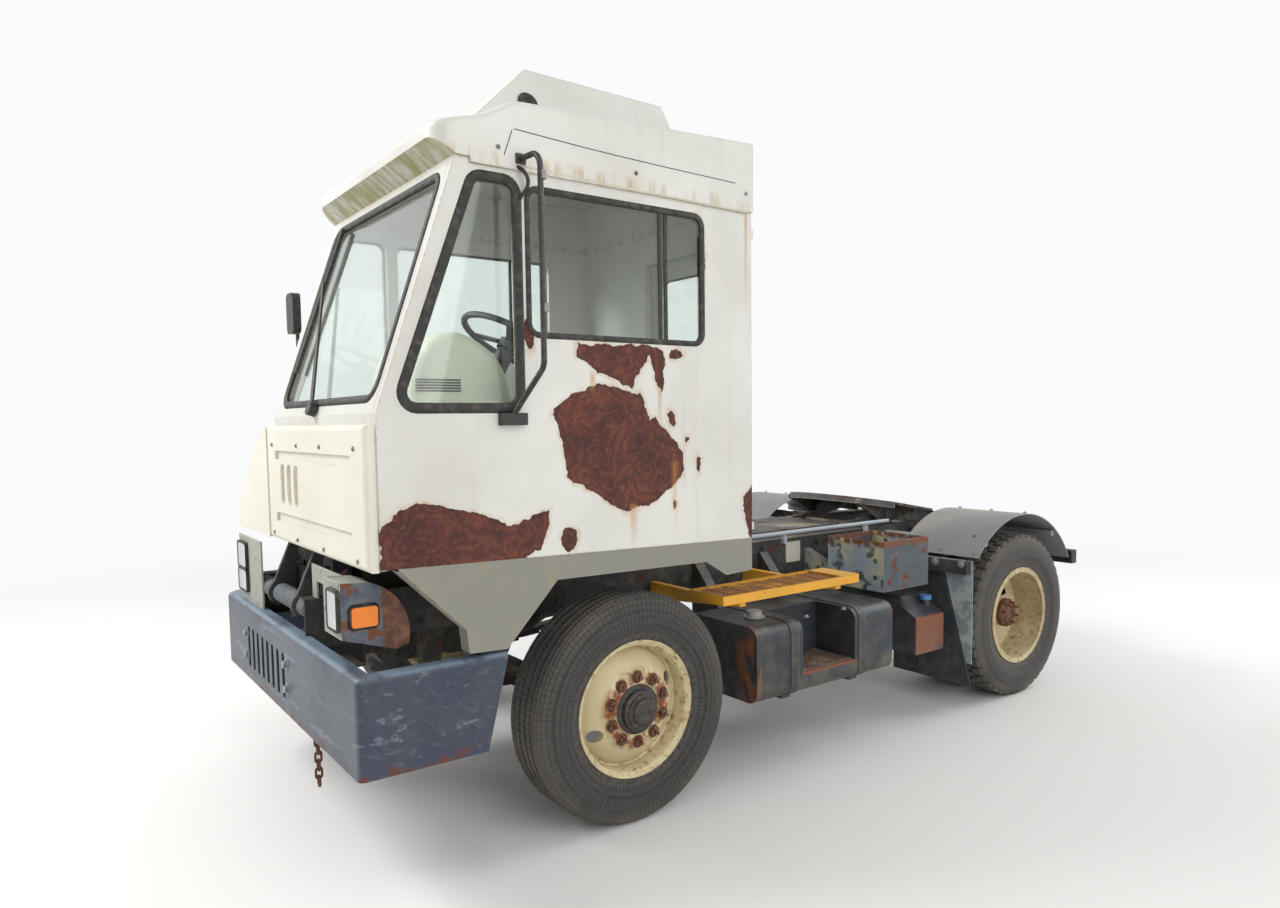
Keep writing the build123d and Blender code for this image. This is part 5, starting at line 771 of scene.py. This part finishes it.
def cab_paint(name, outlines, ovals, streaks):
    """Chalky white paint with rust patches and streaks, each at its place on the side."""
    finish = new_finish(name, tint("d6d5cf"), 0.38)
    spot = place_vector()
    fine = cloud(55, 7)
    paint_over(
        ("c6c4bb", blotches(1.6, 4, 0.3, 0.75)), ("a39a80", blotches(16, 5, 0.55, 0.8, (1, 1, 0.05)), 0.25),
        ("a9a18d", sharpen(fine, 0.62, 0.8), 0.3),
        ("8c7a5c", sharp_edges(0.012), sharpen(fine, 0.4, 0.62), 0.6))
    if outlines:
        warped = push_about(push_about(spot, 5, 0.085, 3), 32, 0.03, 6)
        depth = combine("MINIMUM", [patch_outline(warped, patch) for patch in outlines]
                        + [patch_oval(warped, *patch) for patch in ovals])
        rusted = sharpen(depth, 0.0012, -0.0012)
        wander = maths("MULTIPLY", cloud(6.5, 6), 46)
        contour = maths("SINE", maths("ADD", maths("MULTIPLY", depth, 110), wander))
        layer = all_of(sharpen(contour, 0.55, 0.98), sharpen(fine, 0.36, 0.6))
        deep = layered(
            "41201b", ("5f3025", blotches(7, 6, 0.35, 0.65)), ("34181a", sharpen(contour, -0.2, -0.95), 0.55),
            ("8c4f30", layer, 0.3), ("a8652f", sharpen(fine, 0.64, 0.8)),
            ("2e1712", sharpen(depth, -0.012, -0.001), 0.5))
        paint_over(("b48a4e", sharpen(depth, 0.022, 0), blotches(18, 4, 0.3, 0.7), 0.5), (deep, rusted))
        set_roughness(0.36, rusted, 0.45)
        roughen(all_of(rusted, maths("ADD", layer, fine)), 0.45)
        roughen(maths("SUBTRACT", 1, rusted), 0.8, 0.0018)
    for x, top, bottom, width in streaks:
        away = vector_maths("LENGTH", place_vector((1 / width, 0, 0), (x, 0, 0)))
        height = part_of(spot, "Z")
        paint_over(("b3803c", sharpen(away, 1, 0.1), sharpen(height, bottom - 0.02, top),
                    sharpen(height, top + 0.03, top), blotches(60, 3, 0.25, 0.6, (1, 1, 0.04)), 0.62))
    roughen(cloud(7, 3), 0.08, 0.004)
    return finish


# Each row: corners (x, z) of one straight-sided rust patch on the left side
left_outlines = [
    [(2.34, 1.235), (2.318, 1.4), (2.245, 1.462), (2.185, 1.474), (2.025, 1.432), (1.845, 1.374),
     (1.755, 1.235)],
    [(1.9, 1.36), (1.64, 1.405), (1.655, 1.33), (1.695, 1.262), (1.79, 1.235), (1.92, 1.235)],
    [(1.62, 1.797), (1.547, 1.85), (1.405, 1.905), (1.205, 1.875), (1.155, 1.76), (1.27, 1.372),
     (1.42, 1.452), (1.562, 1.543)],
    [(1.3, 1.7), (1.12, 1.76), (0.978, 1.6), (0.982, 1.5), (1.13, 1.4), (1.27, 1.372)],
    [(1.51, 2.068), (1.512, 2.015), (1.4, 1.955), (1.245, 1.895), (1.205, 1.95), (1.135, 2.05), (1.18, 2.07)],
    [(1.16, 2.06), (1.08, 2.055), (1.078, 1.93), (1.092, 1.872), (1.125, 1.905)],
    [(0.622, 1.4), (0.56, 1.46), (0.55, 1.2), (0.598, 1.238)]]
# Each row: x and z of a small rust spot's middle, half its length, half its height, turn
left_ovals = [
    (1.035, 1.758, 0.018, 0.034, 10), (1.555, 1.285, 0.038, 0.044, 0), (1.735, 2.087, 0.024, 0.056, 10),
    (1.01, 2.04, 0.035, 0.022, 0), (0.885, 1.56, 0.014, 0.034, 0), (0.965, 1.665, 0.01, 0.016, 0),
    (1.025, 1.39, 0.01, 0.02, 0), (0.862, 2.47, 0.012, 0.085, 0)]
# Each row: x of a rust streak, its top, its bottom, half its width
left_streaks = [
    (1.246, 1.39, 1.21, 0.03), (1.02, 1.56, 1.21, 0.028), (1.1, 1.87, 1.7, 0.016), (1.44, 1.93, 1.86, 0.02),
    (0.6, 2.66, 2.2, 0.018)]
give_finish(cab_paint("cab_white_left", left_outlines, left_ovals, left_streaks), "cab_left_side")
give_finish(cab_paint("cab_white", [], [], [(0, 2.72, 2.6, 0.02)]), "cab_right_side", "cab_rear_wall",
            "rear_door", "cab_front_wall")
roof_paint = cab_paint("roof_white", [], [], [])
# Downward faces at the front overhang are painted olive-dark as shade; a brown band of dirt runs along the
# roof's foot.
paint_over(("8a8a3c", facing("Z", -1), within("X", 1.8, 3, 0.1), blotches(6, 6, 0.32, 0.6, (1, 3, 1)), 0.85),
           ("a98a4e", within("Z", 2.66, 2.735, 0.02), blotches(22, 5, 0.45, 0.7, (1, 1, 0.2)), 0.6))
give_finish(roof_paint, "cab_roof", "roof_unit")
worn_paint("panel_cream", "dcd9cb a89f86 6f5a3c", 0.25, 0, 0.1, 0.36, 1.8, "front_panel side_hood", "c4baa2")
worn_paint("skirt_grey", "807f76 a39d88 9a4f22", 0.6, 0.02, 0.4, 0.5, 1.5, "cab_skirt", "9a8f76")
paint_over(("8d8455", blotches(5, 6, 0.55, 0.75, (0.6, 1, 1)), 0.4),
           ("a08a4a", within("X", 1.55, 2.35, 0.1), blotches(12, 6, 0.54, 0.74, (1.6, 1, 0.3)), 0.5))

# Windows: green-tinted safety glass, with dust on it. It holds back no light from the cab's inside,
# which is bright in the photograph.
panes = ("cab_glass", "rear_door_glass")
give_finish(new_finish("window_glass", tint("ecf3ef"), 0.03), *panes)
shader_input("Transmission Weight").default_value = 1
shader_input("IOR").default_value = 1.45
paint_over(("dde4df", blotches(5, 5, 0.5, 0.9)))
for pane in panes:
    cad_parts[pane].visible_shadow = False


# Window rubbers: black moulded strips that hold the panes in the cab's holes. The quarter window's is the
# widest. The sliding panes of the side windows meet at thin dark bars.
def rectangle(low, high):
    """Corners of a rectangle, anticlockwise."""
    return [low, (high[0], low[1]), high, (low[0], high[1])]


def window_loop(corners, radius, offset, steps=6):
    """Points round a hole's outline, corners rounded and set out from its edge; corners run anticlockwise."""
    points = []
    for k in range(len(corners)):
        before, here, after = (Vector(corners[(k + j) % len(corners)]) for j in (-1, 0, 1))
        first, second = (here - before).normalized(), (after - here).normalized()
        first_out, second_out = Vector((first.y, -first.x)), Vector((second.y, -second.x))
        moved = here + offset * (first_out + second_out) / (1 + first_out.dot(second_out))
        bend = first.angle(second)
        around = radius + offset
        centre = moved - first * around * math.tan(bend / 2) - first_out * around
        start_angle = math.atan2(first_out.y, first_out.x)
        for step in range(steps + 1):
            angle = start_angle + bend * step / steps
            points.append(centre + around * Vector((math.cos(angle), math.sin(angle))))
    return points


def window_strip(name, corners, radius, profile, origin, across, up, body="cab"):
    """A rubber strip round a hole: its profile of (offset, height) points follows the hole's outline."""
    across, up = Vector(across), Vector(up)
    out = across.cross(up)
    loops = [[Vector(origin) + spot.x * across + spot.y * up + height * out
              for spot in window_loop(corners, radius, offset)] for offset, height in profile]
    count = len(loops[0])
    faces = [(i * count + k, i * count + (k + 1) % count, ((i + 1) % len(loops)) * count + (k + 1) % count,
              ((i + 1) % len(loops)) * count + k) for i in range(len(loops)) for k in range(count)]
    strip = mesh_piece(name, [spot for loop in loops for spot in loop], [], faces)
    edit_all(strip, bpy.ops.mesh.normals_make_consistent, inside=False)
    return settle(strip, name, body, rubber_finish, 50)


rubber_finish = worn_paint("window_rubber", "161616 3c3b39 4a3a2c", 0.3, 0.1, 0.25, 0.6, 7)
side_low, side_high = (0.8585, 2.085), (1.7205, 2.63)
quarter_hole = [(1.7725, 1.815), (2.2435, 1.815), (1.9375, 2.64), (1.7725, 2.64)]
thin_profile = [
    (-0.011, -0.01), (-0.011, 0), (-0.006, 0.004), (0.008, 0.005), (0.013, 0.001), (0.013, -0.001)]
wide_profile = [
    (-0.011, -0.01), (-0.011, 0.002), (-0.005, 0.007), (0.018, 0.007), (0.026, 0.004), (0.028, -0.001)]
walls = (("left", 1.18, -1), ("right", -0.165, 1))
for place, face_y, sign in walls:
    for window, outline, profile in (("side", rectangle(side_low, side_high), thin_profile),
                                     ("quarter", quarter_hole, wide_profile)):
        corners = [(sign * x, z) for x, z in outline][::sign]
        window_strip(
            f"{window}_rubber_{place}", corners, 0.046, profile, (0, face_y, 0), (sign, 0, 0), (0, 0, 1))
window_strip(
    "windscreen_rubber", rectangle((-0.07, 0.055), (1.112, 0.913)), 0.07,
    [(-0.016, -0.012), (-0.016, 0), (-0.008, 0.006), (0.01, 0.006), (0.016, 0.001), (0.016, -0.001)],
    (2.3265, 0, 1.79), (0, 1, 0), (-0.3264, 0, 0.9452))
door_low, door_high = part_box("rear_door_glass")
window_strip(
    "door_rubber", rectangle((-door_high.y, door_low.z), (-door_low.y, door_high.z)), 0.03,
    [(-0.008, -0.004), (-0.008, 0.001), (0, 0.002), (0.008, 0.002), (0.011, 0), (0.011, -0.002)],
    (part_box("rear_door")[0].x, 0, 0), (0, -1, 0), (0, 0, 1), "rear_door")
pane_depth = 0.009
for place, face_y, sign in walls:
    pane_y = face_y + sign * pane_depth
    bars = [rounded_block((x - 0.009, pane_y - 0.004, side_low[1]), (x + 0.009, pane_y + 0.004, side_high[1]),
                          0.002, 1) for x in (1.0555, 1.0855)]
    settle(join_pieces(bars), f"pane_bars_{place}", "cab", rubber_finish)


# Rain gutter and roof: a thin white lip along the roof's foot, dark sealant in the cap's joint, screws
# that hold the cap, and the round black vent in the roof unit's side.
def bent_tube(name, points, radius, body, finish):
    """A round tube through several points, as a mesh."""
    line = bpy.data.curves.new(name, "CURVE")
    line.dimensions = "3D"
    line.bevel_depth = radius
    line.bevel_resolution = 3
    line.use_fill_caps = True
    run = line.splines.new("BEZIER")
    run.bezier_points.add(len(points) - 1)
    for spot, place in zip(run.bezier_points, points):
        spot.co = place
        spot.handle_left_type = "AUTO"
        spot.handle_right_type = "AUTO"
    take(link_piece(name, line))
    bpy.ops.object.convert(target="MESH")
    return settle(bpy.context.object, name, body, finish, 60)


gutter_finish = worn_paint("gutter_white", "c9c5b4 a4986f 8a6a3a", 0.6, 0.35, 0.4, 0.5, 6)
bent_tube("rain_gutter", [(1.735, 1.1905, 2.702), (1.3, 1.1905, 2.692), (0.6, 1.1905, 2.683)], 0.0055, "cab",
          gutter_finish)
for joint, points in (("front", [(1.7765, 1.1945, 2.831), (1.3855, 1.1945, 2.814), (0.6745, 1.1945, 2.799)]),
                      ("seam", [(1.7845, 1.1945, 2.826), (1.8195, 1.1945, 2.73)])):
    bent_tube(f"roof_joint_{joint}", points, 0.0016, "cab", rubber_finish)
spots = [(1.8435, 1.1935, 2.755), (0.6095, 1.1935, 2.762), (1.22, 1.1935, 2.758)]
settle(set_copies(hex_bolt(0.014), spots, (0, 1, 0)), "roof_screws", "cab", bolt_steel)
knob_spot, knob_out = surface_at("roof_unit", (1.52, 2, 3.075), (0, -1, 0))
knob = turned_shape(
    [(0.046, -0.004), (0.046, 0.006), (0.04, 0.01), (0.02, 0.01), (0.016, 0.006), (0, 0.006)], (0, 0), 32)
knob.matrix_world = Matrix.Translation(knob_spot) @ knob_out.to_track_quat("Y", "Z").to_matrix().to_4x4()
settle(knob, "roof_vent", "cab", rubber_finish, 30)

# Front panel screws: small steel heads at the moulded panel's upper and lower edges, which hold it to
# the cab's front wall.
panel_face_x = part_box("front_panel")[1].x
screw_rows = ((1.667, (-0.055, 0.339, 0.661, 1.06)), (1.269, (-0.068, 0.31, 0.673, 1.068)))
spots = [(panel_face_x - 0.001, y, z) for z, row in screw_rows for y in row]
settle(set_copies(hex_bolt(0.015), spots, (1, 0, 0)), "panel_screws", "cab", bolt_steel)


# Bay above the bumper: banded grey sleeves on the cab's pivot tube, black hoses, and wires to the lamps
# in thin coloured plastic.
def plastic(name, first, second, scale, roughness, grain, bump, depth=0.0005, detail=2):
    """Moulded plastic: slightly uneven in colour, with a fine grain."""
    finish = new_finish(name, tint(first), roughness)
    paint_over((second, cloud(scale)))
    roughen(cloud(grain, detail), bump, depth)
    return finish


sleeve_finish = worn_paint("sleeve_grey", "5a5f66 8b9096 5a4636", 0.4, 0.1, 0.5, 0.7, 8)
for sleeve, (start_y, end_y) in enumerate(((0.312, 0.4), (-0.072, 0.266), (-0.4, -0.118))):
    band_count = round((end_y - start_y) / 0.028)
    outline = [(0.034, start_y)]
    for band in range(band_count):
        middle = start_y + (end_y - start_y) * (band + 0.5) / band_count
        outline += [(0.038, middle - 0.011), (0.043, middle - 0.007), (0.043, middle + 0.007),
                    (0.038, middle + 0.011)]
    outline += [(0.034, end_y)]
    settle(turned_shape(outline, (2.3455, 0.985), 32), f"pivot_sleeve_{sleeve}", "chassis", sleeve_finish,
           30)
hose_finish = worn_paint("hose_black", "1c1c1c 47443f 5a4a3a", 0.3, 0.05, 0.5, 0.65, 10)
for number, points in enumerate((
        [(2.21, 0.235, 1.115), (2.285, 0.215, 1.12), (2.3, 0.13, 1.065), (2.255, 0.02, 1)],
        [(2.22, -0.15, 1.1), (2.29, -0.2, 1.085), (2.285, -0.29, 1.01), (2.235, -0.33, 0.96)],
        [(2.23, 0.43, 1.11), (2.29, 0.455, 1.1), (2.3, 0.56, 1.05), (2.33, 0.64, 1.08), (2.33, 0.76, 1.12)])):
    bent_tube(f"bay_hose_{number}", points, 0.014, "chassis", hose_finish)
# Each pair: colour of a wire, how far it lies from the first one
wires = (("7d3f7a", 0), ("9c2f2f", 0.01), ("2f6a48", -0.011), ("a05a8a", 0.019))
for number, (code, shift) in enumerate(wires):
    points = [(2.225, 0.47 + shift, 1.13 + shift), (2.285, 0.5, 1.14 - shift), (2.315, 0.58 + shift, 1.075),
              (2.325, 0.68, 1.045 + shift), (2.335, 0.78 - shift, 1.075)]
    bent_tube(f"bay_wire_{number}", points, 0.0045, "chassis",
              plastic(f"wire_{number}", code, "4a3c3a", 30, 0.5, 200, 0.2))

# Cab inside: pale green moulded dashboard with a black louvred vent in the pod's left face, black column
# and wheel, and a black vinyl seat of two stuffed pads.
dash_finish = plastic("dash_plastic", "b4b5a6", "9b9c8e", 6, 0.6, 400, 0.15)
black_finish = plastic("black_plastic", "1c1c1c", "2e2d2c", 20, 0.55, 300, 0.15)
vinyl_finish = plastic("seat_vinyl", "232427", "3a3a3c", 9, 0.5, 260, 0.25, 0.0008, 3)
give_finish(dash_finish, "dashboard")
give_finish(black_finish, "steering_column", "seat_base", "steering_wheel")


def crowned_pad(low, high, crown):
    """A stuffed pad: a rounded block whose faces swell towards their middles."""
    pad = edit_all(rounded_block(low, high, 0.034, 4), bpy.ops.mesh.subdivide, number_cuts=7, smoothness=0)
    half = (Vector(high) - Vector(low)) / 2
    for vertex in pad.data.vertices:
        across = [vertex.co[k] / half[k] for k in range(3)]
        swell = max(0, 1 - across[0] ** 2) * max(0, 1 - across[1] ** 2)
        channel = 0.35 * abs(math.sin(across[1] * math.pi * 2.5)) + 0.65
        vertex.co.z += crown * swell * channel * (1 if across[2] > 0 else -0.2)
    return pad


seat_cushion = crowned_pad((0.905, 0.468, 1.625), (1.405, 0.932, 1.722), 0.016)
seat_back = crowned_pad((-0.17, -0.225, -0.04), (0.17, 0.225, 0.04), 0.014)
seat_back.rotation_euler = (0, math.radians(-106), 0)
seat_back.location = (0.888, 0.7, 1.868)
for pad, pad_name in ((seat_cushion, "seat_cushion"), (seat_back, "seat_back")):
    settle(pad, pad_name, "cab", vinyl_finish, 60)
    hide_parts("driver_seat")
vent_x = (1.9275, 2.1075)
vent_z = (1.872, 1.921)
vent_y = surface_at("dashboard", (sum(vent_x) / 2, 1.17, sum(vent_z) / 2), (0, -1, 0))[0].y
vent_bars = [rounded_block((vent_x[0], vent_y - 0.004, z), (vent_x[1], vent_y + 0.004, z + 0.006), 0.001, 1)
             for z in (vent_z[0] + k * 0.0105 for k in range(5))]
settle(join_pieces(vent_bars), "dash_vent", "cab", black_finish)

# Mirror arms and wiper: black painted tube, rusting where it is chipped. Steel clips hold the left arm's
# upright, and a short grab handle is bent round the pillar beside it.
arm_finish = worn_paint("arm_black", "141414 3d3c3a", 0.5, 0.3, 0.15, 0.4, 8, "mirror_arms mirror_head wiper")
clip_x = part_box("mirror_arms")[0].x + 0.011
clips = [cylinder(0.0145, 0.03, (clip_x, 1.34, z), 20) for z in (2.638, 2.166)]
settle(join_pieces(clips), "arm_clips", "cab", bolt_steel, 30)
bent_tube("grab_handle", [(1.7705, 1.184, 2.701), (1.7455, 1.206, 2.68), (1.7295, 1.208, 2.64),
                          (1.7565, 1.184, 2.58)], 0.0075, "cab", arm_finish)

# Lamp brackets and lamps: chipped cream plates with clear lenses in black bezels, an amber marker on the
# left box, red lamps at the tail.
worn_paint("bracket_cream", "8d9086 bdb8a4 7a3f26", 0.8, 0.35, 0.3, 0.6, 3, "lamp_brackets")
box_side = (facing("Y"), within("Y", 0.99, 1.01))
paint_over(
    (mottled("3b4655", "6b7078", 8, 8, 0.36, 0.62), *box_side),
    ("6a3d28", *box_side, blotches(11, 8, 0.49, 0.55)),
    (mottled("4c3228", "85573c", 18, 7, 0.35, 0.7), *box_side, within("X", 2, 2.262, 0.006)))
give_finish(new_finish("lamp_lens", tint("d5d9d9"), 0.12), "lamps")
paint_over(("aeb3b2", cloud(12)), (mottled("f08a2c", "e8761c", 25, 5), within("Y", 1.0005, 1.05, 0.0004)),
           (mottled("8e1512", "b02a1e", 25, 5), within("X", -3, -2)))
lens_ribs = add_node("TexWave", {"bands_direction": "Y"}, Vector=place_vector(), Scale=45)
roughen(lens_ribs.outputs[1], 0.35, 0.0015)
# Each row: lamp, its box's face along X, its low and high corners in Y and Z, how far its bezel may stand out
for lamp_name, face_x, low, high, reach in (
        ("left", 2.4135, (0.882, 1.01), (0.994, 1.156), 0.0055),
        ("right_upper", 2.3935, (-0.669, 1.044), (-0.501, 1.172), 0.003),
        ("right_lower", 2.3935, (-0.669, 0.928), (-0.501, 1.038), 0.003)):
    window_strip(
        f"lamp_bezel_{lamp_name}", rectangle(low, high), 0.016,
        [(-0.007, 0.01), (-0.006, 0.0155), (0.003, 0.0165), (reach, 0.012), (reach, 0)], (face_x, 0, 0),
        (0, 1, 0), (0, 0, 1), "chassis")
window_strip(
    "marker_bezel", rectangle((-2.3805, 1.02), (-2.2845, 1.094)), 0.012,
    [(-0.005, 0.006), (-0.004, 0.013), (0.004, 0.013), (0.01, 0.005), (0.01, 0)], (0, 1, 0), (-1, 0, 0),
    (0, 0, 1), "chassis")
